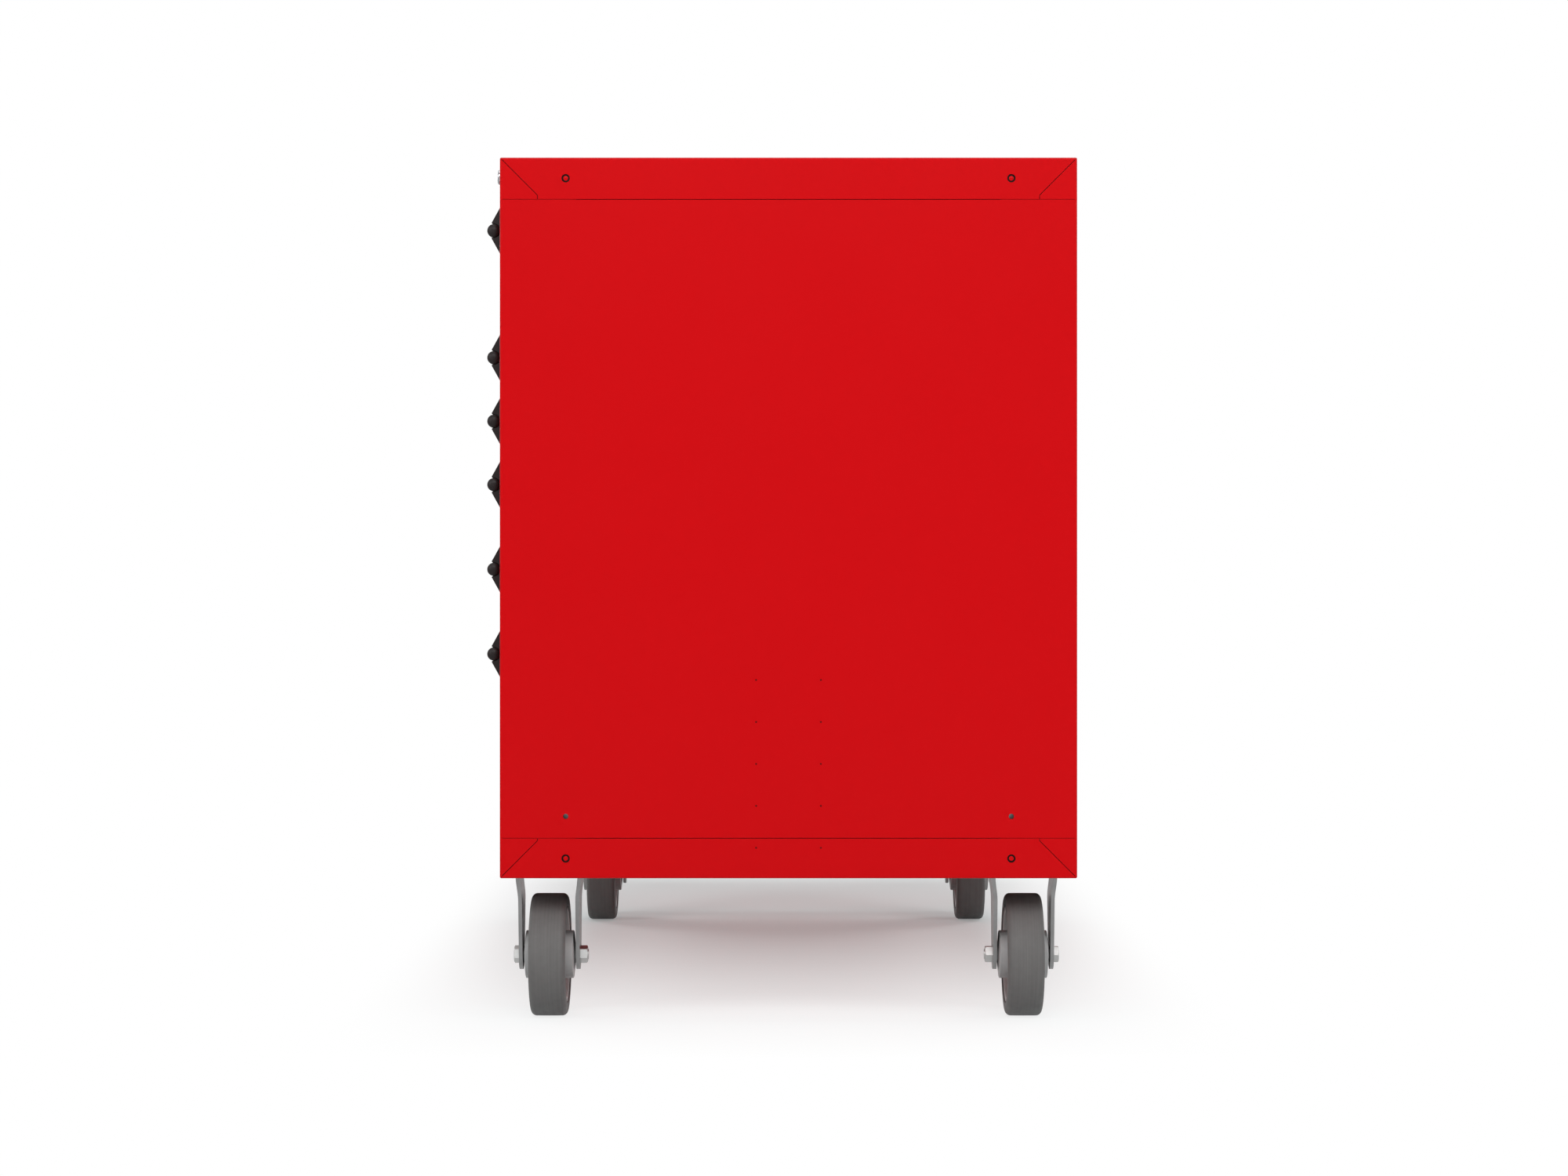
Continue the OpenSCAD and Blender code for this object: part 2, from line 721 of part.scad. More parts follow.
// Lock plug with its key slot, and the cam whose pin lifts the lock frame
module lock_plug() {
    pin_x = lock_x + pin_arm * cos(45);
    pin_z = lock_z - pin_arm * sin(45);
    cam_y = barrel_end + cam_gap;
    color(CHROME) difference() {
        union() {
            rod_y(front_y - lock_out, cam_y + touch, lock_x, lock_z, plug_d);
            rod_y(cam_y, cam_y + cam_t, lock_x, lock_z, cam_d);
            rod_y(cam_y, cam_y + cam_t, pin_x, pin_z, pin_boss_d);
            rod_y(cam_y, tab_y + link_t + past, pin_x, pin_z, pin_d);
        }
        box(lock_x - key_w / 2, lock_x + key_w / 2, front_y - lock_out - past, front_y,
            lock_z - key_h / 2, lock_z + key_h / 2);
    }
}

// Cross link and two side bars in one piece, with a tab below each catch
module lock_frame() {
    pin_z = lock_z - pin_arm * sin(45);
    low_z = lowest + catch_low - lock_lift - past;
    slot_x0 = lock_x + pin_arm * cos(45) - pin_d / 2 - pin_clear;
    slot_x1 = lock_x + pin_arm + pin_d / 2 + pin_clear;
    slot_half = pin_d / 2 + pin_clear;
    color(ZINC) difference() {
        union() {
            box(-bar_x - bar_w, bar_x + bar_w, tab_y, tab_y + link_t, pin_z - link_h / 2, pin_z + link_h / 2);
            both_sides() box(bar_x, bar_x + bar_w, tab_y, tab_y + tab_t, low_z, pin_z + link_h / 2);
            for (d = DRAWERS) {
                z = d[4] + catch_low - lock_lift;
                if (locks_right(d)) box(bar_x - tab_len, bar_x + touch, tab_y, tab_y + tab_t, z, z + tab_h);
                if (locks_left(d)) box(-bar_x - touch, -bar_x + tab_len, tab_y, tab_y + tab_t, z, z + tab_h);
            }
        }
        box(slot_x0, slot_x1, tab_y - past, tab_y + link_t + past, pin_z - slot_half, pin_z + slot_half);
    }
}

// Plates on the base floor that spread the load of the casters
module backing_plates() {
    color(ZINC) difference() {
        for (side = [-1, 1], y = caster_ys) translate([side * caster_x, y, floor_z])
            linear_extrude(backing_t)
                soft_rect(-plate_x / 2, plate_x / 2, -backing_y / 2, backing_y / 2, plate_corner);
        caster_bolt_holes(bolt_d, floor_z - past, floor_z + backing_t + past);
    }
}

// Bolts through the caster plates, the base floor and the backing plates, with their nuts below
module caster_bolts() {
    over = floor_z + backing_t;
    under = plate_low - bolt_head_t;
    color(ZINC) {
        caster_bolt_holes(bolt_d - 2 * bolt_clear, under - past, over + touch);
        for (side = [-1, 1], y = caster_ys, bx = [-1, 1], by = [-1, 1])
            translate([side * caster_x + bx * bolt_x / 2, y + by * bolt_y / 2, 0]) {
                for (z = [over, under]) translate([0, 0, z])
                    cylinder(d = bolt_hex / cos(30), h = bolt_head_t, $fn = 6);
            }
    }
}

// Caster plate with four bolt holes
module caster_plate() {
    difference() {
        translate([0, 0, plate_low]) linear_extrude(plate_t)
            soft_rect(-plate_x / 2, plate_x / 2, -plate_y / 2, plate_y / 2, plate_corner);
        for (bx = [-1, 1], by = [-1, 1]) translate([bx * bolt_x / 2, by * bolt_y / 2, plate_low - past])
            cylinder(d = bolt_d, h = plate_t + 2 * past);
    }
}

// Section of one rigid leg in the Y and Z plane: straight, curved outwards, then bent out under the plate
module rigid_leg_section() {
    bend_z = plate_low - leg_t - leg_bend;
    flare_z = bend_z - flare_h;
    inner = fork_gap / 2;
    translate([inner, wheel_r - leg_end_r]) square([leg_t, flare_z - wheel_r + leg_end_r]);
    curve = [for (i = [0 : flare_steps]) let (t = i / flare_steps)
                 [inner + flare * (1 - cos(180 * t)) / 2, flare_z - touch + (flare_h + touch) * t]];
    outer_curve = [for (i = [flare_steps : -1 : 0]) curve[i] + [leg_t, 0]];
    polygon(concat(curve, outer_curve));
    intersection() {
        translate([inner + flare + leg_t + leg_bend, bend_z]) difference() {
            circle(leg_t + leg_bend);
            circle(leg_bend);
        }
        translate([inner + flare, bend_z - touch]) square(leg_t + leg_bend + touch);
    }
    translate([inner + flare + leg_t + leg_bend, bend_z + leg_bend])
        square([plate_y / 2 - inner - flare - leg_t - leg_bend, leg_t]);
}

// Outline of a leg in the X and Z plane, from the axle at reach to its root
module leg_outline(reach, half_root, root_z) {
    translate([reach, wheel_r]) circle(leg_end_r);
    polygon([[reach - leg_end_r, wheel_r], [reach + leg_end_r, wheel_r], [half_root, root_z],
             [half_root, caster_h], [-half_root, caster_h], [-half_root, root_z]]);
}

module rigid_brackets() {
    color(ZINC) for (y = caster_ys) translate([caster_x, y, 0]) {
        caster_plate();
        for (turn = [0, 180]) rotate([0, 0, turn]) difference() {
            intersection() {
                along_x(-plate_x / 2, plate_x / 2) rigid_leg_section();
                translate([0, plate_y, 0]) rotate([90, 0, 0]) linear_extrude(2 * plate_y)
                    leg_outline(0, rigid_root_half, plate_low - 2 * leg_t);
            }
            rod_y(0, plate_y, 0, wheel_r, axle_hole_d);
        }
    }
}

// Axle bolt with its head on the outer leg and its nut on the inner one
module axle_bolt(outward, turn) {
    end = leg_out + nut_t + bolt_end;
    rotate([0, 0, outward > 0 ? 0 : 180]) {
        rod_y(-end, leg_out + touch, 0, wheel_r, axle_d);
        hex_y(leg_out, leg_out + head_t, 0, wheel_r, hex_af, turn);
        hex_y(-leg_out - nut_t, -leg_out, 0, wheel_r, hex_af, turn);
    }
}

module rigid_axle_bolts() {
    color(ZINC) {
        translate([caster_x, caster_ys[0], 0]) axle_bolt(-1, front_bolt_turn);
        translate([caster_x, caster_ys[1], 0]) axle_bolt(1, rear_bolt_turn);
    }
}

// Swivel plates with the upper race and the kingpin
module swivel_plates() {
    head_z = crown_z - race_gap - kingpin_head_t;
    color(ZINC) for (y = caster_ys) translate([-caster_x, y, 0]) {
        caster_plate();
        translate([0, 0, plate_low]) mirror([0, 0, 1]) difference() {
            cylinder(r = race_r, h = race_h);
            translate([0, 0, past]) cylinder(r = race_r - race_wall, h = race_h);
        }
        translate([0, 0, head_z]) cylinder(d = kingpin_d, h = plate_low + touch - head_z);
        translate([0, 0, head_z]) cylinder(d = kingpin_head_d, h = kingpin_head_t);
    }
}

// Swivel fork: crown with the lower race, and two legs that trail to the axle
module swivel_fork(y) {
    race_top = plate_low - race_h - race_gap;
    color(ZINC) translate([-caster_x, y, 0]) difference() {
        union() {
            translate([0, 0, crown_z]) cylinder(r = leg_out, h = crown_t);
            translate([0, 0, crown_z]) cylinder(r = race_r, h = race_top - crown_z);
            for (side = [-1, 1]) intersection() {
                translate([0, side * (leg_out - leg_t / 2) + leg_t / 2, 0]) rotate([90, 0, 0])
                    linear_extrude(leg_t) difference() {
                        leg_outline(trail, crown_half, crown_z);
                        translate([-plate_x, crown_z + crown_t]) square([2 * plate_x, caster_h]);
                    }
                box(-plate_x, plate_x, -plate_y, plate_y, 0, crown_z + crown_t);
            }
            box(-crown_half, crown_half, -leg_out, leg_out, crown_z, crown_z + crown_t);
        }
        translate([0, 0, crown_z - past])
            cylinder(d = kingpin_d + 2 * axle_run, h = race_top - crown_z + 2 * past);
        rod_y(-plate_y, plate_y, trail, wheel_r, axle_hole_d);
    }
}

module swivel_axle(y, outward) {
    color(ZINC) translate([-caster_x + trail, y, 0]) axle_bolt(outward, 0);
}

// Solid of revolution about a caster's axle
module wheel_turned(x, y) {
    translate([x, y, wheel_r]) rotate([90, 0, 0]) rotate_extrude($fn = 96) children();
}

// Tread with rounded corners on a flat inner face
module tyre(x, y) {
    color(RUBBER) wheel_turned(x, y) difference() {
        soft_rect(wheel_r - tyre_t - 2 * tyre_corner, wheel_r, -wheel_w / 2, wheel_w / 2, tyre_corner);
        translate([0, -wheel_w]) square([wheel_r - tyre_t, 2 * wheel_w]);
    }
}

// Hub with a rim under the tread, a thinner web, a boss on each side whose face falls away to its edge,
// and a sleeve that keeps the bosses clear of the legs
module hub(x, y) {
    rim_r = wheel_r - tyre_t;
    rim_t = 7;
    slope = 2;
    web_in = 8;
    rim_in = 1.5;
    web_half = wheel_w / 2 - web_in;
    rim_half = wheel_w / 2 - rim_in;
    bore_r = axle_d / 2 + axle_run;
    edge_half = hub_len / 2 - hub_fall;
    sleeve_half = fork_gap / 2 - hub_sleeve_gap;
    color(HUB_GREY) wheel_turned(x, y) polygon([
        [bore_r, -sleeve_half], [hub_sleeve_r, -sleeve_half], [hub_sleeve_r, -hub_len / 2],
        [hub_flat_r, -hub_len / 2], [hub_boss_r, -edge_half], [hub_boss_r, -web_half],
        [rim_r - rim_t - slope, -web_half], [rim_r - rim_t, -rim_half], [rim_r, -rim_half],
        [rim_r, rim_half], [rim_r - rim_t, rim_half], [rim_r - rim_t - slope, web_half],
        [hub_boss_r, web_half], [hub_boss_r, edge_half], [hub_flat_r, hub_len / 2],
        [hub_sleeve_r, hub_len / 2], [hub_sleeve_r, sleeve_half], [bore_r, sleeve_half]]);
}

top_pan();
base_frame();
side_panel_right();
side_panel_left();
back_panel();
centre_partition();
cross_rail();
slide_posts();
fixed_rails();
ringed_screws();
lock_housing();
lock_plug();
lock_frame();
backing_plates();
caster_bolts();
rigid_brackets();
rigid_axle_bolts();
swivel_plates();
swivel_fork(caster_ys[0]);  // swivel_fork_front
swivel_fork(caster_ys[1]);  // swivel_fork_rear
swivel_axle(caster_ys[0], -1);  // swivel_axle_front
swivel_axle(caster_ys[1], 1);  // swivel_axle_rear
tyre(rigid_wheel_x, caster_ys[0]);  // tyre_front_right
tyre(rigid_wheel_x, caster_ys[1]);  // tyre_rear_right
tyre(swivel_wheel_x, caster_ys[0]);  // tyre_front_left
tyre(swivel_wheel_x, caster_ys[1]);  // tyre_rear_left
hub(rigid_wheel_x, caster_ys[0]);  // hub_front_right
hub(rigid_wheel_x, caster_ys[1]);  // hub_rear_right
hub(swivel_wheel_x, caster_ys[0]);  // hub_front_left
hub(swivel_wheel_x, caster_ys[1]);  // hub_rear_left
for (d = DRAWERS) {
    drawer_tray(d);
    drawer_pull(d);
    drawer_carriage(d);
}
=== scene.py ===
import bpy
import bmesh
import math
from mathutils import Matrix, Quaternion, Vector


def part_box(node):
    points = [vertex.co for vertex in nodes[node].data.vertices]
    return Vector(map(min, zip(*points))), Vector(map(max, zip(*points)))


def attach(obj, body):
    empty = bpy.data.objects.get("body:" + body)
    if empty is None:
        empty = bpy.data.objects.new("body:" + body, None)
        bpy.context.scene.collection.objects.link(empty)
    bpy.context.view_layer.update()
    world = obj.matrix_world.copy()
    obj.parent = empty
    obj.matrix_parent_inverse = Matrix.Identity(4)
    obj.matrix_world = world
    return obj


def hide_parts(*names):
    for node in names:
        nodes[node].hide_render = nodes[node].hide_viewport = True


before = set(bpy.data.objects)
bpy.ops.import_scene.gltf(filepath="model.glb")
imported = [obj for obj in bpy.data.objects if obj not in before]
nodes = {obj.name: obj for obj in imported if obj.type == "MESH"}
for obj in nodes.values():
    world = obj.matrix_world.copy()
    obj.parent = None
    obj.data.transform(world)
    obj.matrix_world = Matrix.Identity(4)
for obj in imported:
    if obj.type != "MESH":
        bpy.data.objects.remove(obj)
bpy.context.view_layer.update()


# Body shell: top pan, base frame, sides, back, partition and cross rail. Folded steel sheet,
# welded and screwed into one box, then powder coated red in one go, so the coat is the same
# on all of them: satin, with a faint orange peel and slow drifts in depth of colour.
def new_group(name, inputs, outputs):
    """Empty shader node group with named float inputs and outputs."""
    tree = bpy.data.node_groups.new(name, "ShaderNodeTree")
    for label, value in inputs.items():
        socket = tree.interface.new_socket(label, in_out="INPUT", socket_type="NodeSocketFloat")
        socket.default_value = value
    for label in outputs:
        tree.interface.new_socket(label, in_out="OUTPUT", socket_type="NodeSocketFloat")
    return tree, tree.nodes.new("NodeGroupInput"), tree.nodes.new("NodeGroupOutput")


def add_node(tree, kind, **settings):
    """Node of a kind: plain settings by attribute, and socket values by name in `values`."""
    node = tree.nodes.new(kind)
    values = settings.pop("values", {})
    for label, value in settings.items():
        setattr(node, label, value)
    for label, value in values.items():
        node.inputs[label].default_value = value
    return node


def math_node(tree, operation, first, second=None):
    """Math node on two sockets or numbers; gives its output socket."""
    node = add_node(tree, "ShaderNodeMath", operation=operation)
    for slot, source in enumerate((first, second)):
        if isinstance(source, (int, float)):
            node.inputs[slot].default_value = source
        elif source is not None:
            tree.links.new(source, node.inputs[slot])
    return node.outputs["Value"]


# Slow cloudy drift over a surface, from 0 to 1
cloud_group, group_in, group_out = new_group("surface_cloud", {"Scale": 4.0, "Detail": 3.0}, ["Cloud"])
coords = add_node(cloud_group, "ShaderNodeTexCoord")
noise = add_node(cloud_group, "ShaderNodeTexNoise")
cloud_group.links.new(coords.outputs["Object"], noise.inputs["Vector"])
cloud_group.links.new(group_in.outputs["Scale"], noise.inputs["Scale"])
cloud_group.links.new(group_in.outputs["Detail"], noise.inputs["Detail"])
spread = add_node(cloud_group, "ShaderNodeMapRange", interpolation_type="SMOOTHSTEP",
                  values={"From Min": 0.2, "From Max": 0.8})
cloud_group.links.new(noise.outputs["Fac"], spread.inputs["Value"])
cloud_group.links.new(spread.outputs["Result"], group_out.inputs["Cloud"])

# Height of a coat's orange peel: a coarse swell with a finer grain on it
peel_group, group_in, group_out = new_group(
    "coat_peel", {"Swell scale": 260.0, "Grain scale": 900.0, "Grain": 0.3}, ["Height"])
coords = add_node(peel_group, "ShaderNodeTexCoord")
swell = add_node(peel_group, "ShaderNodeTexNoise", values={"Detail": 1.0})
grain = add_node(peel_group, "ShaderNodeTexNoise", values={"Detail": 2.0})
peel_group.links.new(coords.outputs["Object"], swell.inputs["Vector"])
peel_group.links.new(coords.outputs["Object"], grain.inputs["Vector"])
peel_group.links.new(group_in.outputs["Swell scale"], swell.inputs["Scale"])
peel_group.links.new(group_in.outputs["Grain scale"], grain.inputs["Scale"])
grain_part = add_node(peel_group, "ShaderNodeMath", operation="MULTIPLY_ADD")
peel_group.links.new(grain.outputs["Fac"], grain_part.inputs[0])
peel_group.links.new(group_in.outputs["Grain"], grain_part.inputs[1])
peel_group.links.new(swell.outputs["Fac"], grain_part.inputs[2])
peel_group.links.new(grain_part.outputs["Value"], group_out.inputs["Height"])

# Lines left by drawing, rolling or moulding, from 0 to 1: noise stretched along the axis with the
# lowest scale
line_group, group_in, group_out = new_group(
    "drawn_lines", {"X scale": 1.0, "Y scale": 1.0, "Z scale": 1.0}, ["Lines"])
coords = add_node(line_group, "ShaderNodeTexCoord")
per_axis = add_node(line_group, "ShaderNodeCombineXYZ")
for axis in "XYZ":
    line_group.links.new(group_in.outputs[axis + " scale"], per_axis.inputs[axis])
stretched = add_node(line_group, "ShaderNodeVectorMath", operation="MULTIPLY")
line_group.links.new(coords.outputs["Object"], stretched.inputs[0])
line_group.links.new(per_axis.outputs["Vector"], stretched.inputs[1])
noise = add_node(line_group, "ShaderNodeTexNoise", values={"Scale": 1.0, "Detail": 2.0})
line_group.links.new(stretched.outputs["Vector"], noise.inputs["Vector"])
spread = add_node(line_group, "ShaderNodeMapRange", interpolation_type="SMOOTHSTEP",
                  values={"From Min": 0.25, "From Max": 0.75})
line_group.links.new(noise.outputs["Fac"], spread.inputs["Value"])
line_group.links.new(spread.outputs["Result"], group_out.inputs["Lines"])

# Weight of drawn lines over the cloud, fineness of handling marks and of grain, and depth of peel
line_share = 0.6
handling_finer = 5
handling_detail = 6.0
grain_finer = 3.5
peel_depth = 0.0002


def coated(name, colour, deep, rough, rough_spread, peel, metallic=0.0, specular=0.5, cloud=4.0,
           bump=0.15, lines=None):
    """Material whose colour and roughness drift, with a fine bump; lines gives drawn lines their scales."""
    material = bpy.data.materials.new(name)
    material.use_nodes = True
    tree = material.node_tree
    shader = tree.nodes["Principled BSDF"]
    shader.inputs["Metallic"].default_value = metallic
    shader.inputs["Specular IOR Level"].default_value = specular
    drift = add_node(tree, "ShaderNodeGroup", node_tree=cloud_group, values={"Scale": cloud})
    tint = add_node(tree, "ShaderNodeMix", data_type="RGBA")
    tint.inputs["A"].default_value = (*colour, 1.0)
    tint.inputs["B"].default_value = (*deep, 1.0)
    if lines:
        drawn = add_node(tree, "ShaderNodeGroup", node_tree=line_group,
                         values={"X scale": lines[0], "Y scale": lines[1], "Z scale": lines[2]})
        both = add_node(tree, "ShaderNodeMix", data_type="FLOAT", values={"Factor": line_share})
        tree.links.new(drift.outputs["Cloud"], both.inputs["A"])
        tree.links.new(drawn.outputs["Lines"], both.inputs["B"])
        tree.links.new(both.outputs["Result"], tint.inputs["Factor"])
    else:
        tree.links.new(drift.outputs["Cloud"], tint.inputs["Factor"])
    tree.links.new(tint.outputs["Result"], shader.inputs["Base Color"])
    handling = add_node(tree, "ShaderNodeGroup", node_tree=cloud_group,
                        values={"Scale": cloud * handling_finer, "Detail": handling_detail})
    gloss = add_node(tree, "ShaderNodeMapRange",
                     values={"To Min": rough - rough_spread, "To Max": rough + rough_spread})
    tree.links.new(handling.outputs["Cloud"], gloss.inputs["Value"])
    tree.links.new(gloss.outputs["Result"], shader.inputs["Roughness"])
    skin = add_node(tree, "ShaderNodeGroup", node_tree=peel_group,
                    values={"Swell scale": peel, "Grain scale": peel * grain_finer})
    relief = add_node(tree, "ShaderNodeBump", values={"Strength": bump, "Distance": peel_depth})
    tree.links.new(skin.outputs["Height"], relief.inputs["Height"])
    tree.links.new(relief.outputs["Normal"], shader.inputs["Normal"])
    return material


# Modifier that shades a surface smoothly up to a fold
smooth_tree = bpy.data.node_groups.new("smooth_to_fold", "GeometryNodeTree")
smooth_tree.interface.new_socket("Geometry", in_out="INPUT", socket_type="NodeSocketGeometry")
fold_socket = smooth_tree.interface.new_socket("Fold angle", in_out="INPUT", socket_type="NodeSocketFloat")
fold_socket.default_value = math.radians(31)
smooth_tree.interface.new_socket("Geometry", in_out="OUTPUT", socket_type="NodeSocketGeometry")
tree_in = smooth_tree.nodes.new("NodeGroupInput")
tree_out = smooth_tree.nodes.new("NodeGroupOutput")
all_smooth = smooth_tree.nodes.new("GeometryNodeSetShadeSmooth")
edge_angle = smooth_tree.nodes.new("GeometryNodeInputMeshEdgeAngle")
under_fold = smooth_tree.nodes.new("FunctionNodeCompare")
fold_edges = smooth_tree.nodes.new("GeometryNodeSetShadeSmooth")
under_fold.operation = "LESS_THAN"
fold_edges.domain = "EDGE"
smooth_tree.links.new(tree_in.outputs["Geometry"], all_smooth.inputs["Geometry"])
smooth_tree.links.new(all_smooth.outputs["Geometry"], fold_edges.inputs["Geometry"])
smooth_tree.links.new(edge_angle.outputs["Unsigned Angle"], under_fold.inputs["A"])
smooth_tree.links.new(tree_in.outputs["Fold angle"], under_fold.inputs["B"])
smooth_tree.links.new(under_fold.outputs["Result"], fold_edges.inputs["Shade Smooth"])
smooth_tree.links.new(fold_edges.outputs["Geometry"], tree_out.inputs["Geometry"])


def finish_node(name, material, edge):
    """Gives a CAD node its material and eases its sharp edges by a width in metres."""
    piece = nodes[name]
    piece.data.materials.clear()
    piece.data.materials.append(material)
    weld = piece.modifiers.new("joined faces", "WELD")
    weld.merge_threshold = 1e-5
    flat = piece.modifiers.new("whole flats", "DECIMATE")
    flat.decimate_type = "DISSOLVE"
    flat.angle_limit = math.radians(0.5)
    ease = piece.modifiers.new("eased edges", "BEVEL")
    ease.width = edge
    ease.segments = 2
    ease.limit_method = "ANGLE"
    ease.angle_limit = math.radians(40)
    shade = piece.modifiers.new("smooth shading", "NODES")
    shade.node_group = smooth_tree
    flats = piece.modifiers.new("flat faces", "WEIGHTED_NORMAL")
    flats.keep_sharp = True
    flats.weight = 100


red_coat = coated("red_powder_coat", (0.565, 0.0018, 0.0040), (0.549, 0.0016, 0.0038),
                  rough=0.36, rough_spread=0.02, peel=260.0, specular=0.07, cloud=2.0, bump=0.06)

# Grooves and small holes of the two side faces are darkened with painted shade and dust: how open a
# spot is, from how far it lies below the face, on all but the folded edges
body_low, body_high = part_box("base_frame")[0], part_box("top_pan")[1]
body_centre = (Vector(body_low) + Vector(body_high)) / 2
body_half = (Vector(body_high) - Vector(body_low)) / 2
edge_strip = 0.003
groove_shade_group, group_in, group_out = new_group(
    "groove_painted_shade_and_dust", {"Clear depth": 0.00005, "Painted shade and dust depth": 0.0006, "Sheet": 0.0022, "Painted shade and dust": 0.05}, ["Open"])
coords = add_node(groove_shade_group, "ShaderNodeTexCoord")
from_centre = add_node(groove_shade_group, "ShaderNodeVectorMath", operation="SUBTRACT")
from_centre.inputs[1].default_value = body_centre
reach = add_node(groove_shade_group, "ShaderNodeVectorMath", operation="ABSOLUTE")
apart = add_node(groove_shade_group, "ShaderNodeSeparateXYZ")
groove_shade_group.links.new(coords.outputs["Object"], from_centre.inputs[0])
groove_shade_group.links.new(from_centre.outputs["Vector"], reach.inputs[0])
groove_shade_group.links.new(reach.outputs["Vector"], apart.inputs["Vector"])
below_face = math_node(groove_shade_group, "SUBTRACT", body_half.x, apart.outputs["X"])
on_side = math_node(groove_shade_group, "MULTIPLY",
                    math_node(groove_shade_group, "LESS_THAN", apart.outputs["Y"], body_half.y - edge_strip),
                    math_node(groove_shade_group, "LESS_THAN", apart.outputs["Z"], body_half.z - edge_strip))
in_groove = math_node(groove_shade_group, "MULTIPLY", on_side,
                      math_node(groove_shade_group, "LESS_THAN", below_face, group_in.outputs["Sheet"]))
opening = add_node(groove_shade_group, "ShaderNodeMapRange", values={"To Min": 1.0})
for label, source in (("Value", below_face), ("From Min", group_in.outputs["Clear depth"]),
                      ("From Max", group_in.outputs["Painted shade and dust depth"]), ("To Max", group_in.outputs["Painted shade and dust"])):
    groove_shade_group.links.new(source, opening.inputs[label])
lost = math_node(groove_shade_group, "MULTIPLY", in_groove,
                 math_node(groove_shade_group, "SUBTRACT", 1.0, opening.outputs["Result"]))
groove_shade_group.links.new(math_node(groove_shade_group, "SUBTRACT", 1.0, lost), group_out.inputs["Open"])
grooved_red = red_coat.copy()
grooved_red.name = "red_powder_coat_grooved"
tree = grooved_red.node_tree
base_colour = tree.nodes["Principled BSDF"].inputs["Base Color"]
plain_red = base_colour.links[0].from_socket
# The plain red times how open the spot is: painted shade and dust in the grooves and holes
groove_shade = add_node(tree, "ShaderNodeGroup", node_tree=groove_shade_group)
groove_shaded_red = add_node(tree, "ShaderNodeMix", data_type="RGBA", blend_type="MULTIPLY")
groove_shaded_red.inputs["Factor"].default_value = 1.0
tree.links.new(plain_red, groove_shaded_red.inputs["A"])
tree.links.new(groove_shade.outputs["Open"], groove_shaded_red.inputs["B"])
tree.links.new(groove_shaded_red.outputs["Result"], base_colour)
shell_edge = 0.00015
for name in ("base_frame", "side_panel_right", "side_panel_left", "top_pan"):
    finish_node(name, grooved_red, shell_edge)
for name in ("back_panel", "centre_partition", "cross_rail"):
    finish_node(name, red_coat, shell_edge)


# Ringed screws and back rivets: the screws that hold the side laps stand in wide holes in the
# bands, each on a near-black disc that is painted shade for the gap round its head, seen as a ring.
# Low rivets hold the back. Heads are painted over with the body, and paint half fills the small
# holes in the sides, coloured dark red as painted shade in the dimples.
def add_socket(tree, label, kind, value=None):
    """Input of a geometry tree, with its default."""
    socket = tree.interface.new_socket(label, in_out="INPUT", socket_type="NodeSocket" + kind)
    if value is not None:
        socket.default_value = value


def place_on_points(tree, tree_in, tree_out, shape):
    """Puts a shape on every point, turned as the point says, as one mesh with its material."""
    turn = add_node(tree, "GeometryNodeInputNamedAttribute", data_type="FLOAT_VECTOR",
                    values={"Name": "turn"})
    turned = add_node(tree, "FunctionNodeEulerToRotation")
    copies = add_node(tree, "GeometryNodeInstanceOnPoints")
    single = add_node(tree, "GeometryNodeRealizeInstances")
    shaded = add_node(tree, "GeometryNodeGroup", node_tree=smooth_tree)
    dressed = add_node(tree, "GeometryNodeSetMaterial")
    tree.links.new(turn.outputs["Attribute"], turned.inputs["Euler"])
    tree.links.new(turned.outputs["Rotation"], copies.inputs["Rotation"])
    tree.links.new(tree_in.outputs["Geometry"], copies.inputs["Points"])
    tree.links.new(shape, copies.inputs["Instance"])
    tree.links.new(copies.outputs["Instances"], shaded.inputs["Geometry"])
    tree.links.new(shaded.outputs["Geometry"], single.inputs["Geometry"])
    tree.links.new(single.outputs["Geometry"], dressed.inputs["Geometry"])
    tree.links.new(tree_in.outputs["Material"], dressed.inputs["Material"])
    tree.links.new(dressed.outputs["Geometry"], tree_out.inputs["Geometry"])


def fasteners(name, tree, body, material, spots, sizes):
    """One mesh of fasteners on a body, from a tree and a list of (place, direction out, turn in degrees)."""
    points = bpy.data.meshes.new(name + "_points")
    points.from_pydata([place for place, out, turn in spots], [], [])
    turns = points.attributes.new("turn", "FLOAT_VECTOR", "POINT")
    for entry, (place, out, turn) in zip(turns.data, spots):
        lean = Vector(out).to_track_quat("Z", "Y") @ Quaternion((0, 0, 1), math.radians(turn))
        entry.vector = lean.to_euler()
    maker = bpy.data.objects.new(name + "_maker", points)
    bpy.context.scene.collection.objects.link(maker)
    modifier = maker.modifiers.new(name, "NODES")
    modifier.node_group = tree
    for item in tree.interface.items_tree:
        if item.item_type == "SOCKET" and item.in_out == "INPUT" and item.name in sizes:
            modifier[item.identifier] = sizes[item.name]
        elif item.item_type == "SOCKET" and item.name == "Material":
            modifier[item.identifier] = material
    made = bpy.data.meshes.new_from_object(maker.evaluated_get(bpy.context.evaluated_depsgraph_get()))
    bpy.data.objects.remove(maker)
    piece = bpy.data.objects.new(name, made)
    bpy.context.scene.collection.objects.link(piece)
    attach(piece, body)
    return piece


def middle(name):
    """Middle of a CAD node's box."""
    low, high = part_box(name)
    return (Vector(low) + Vector(high)) / 2


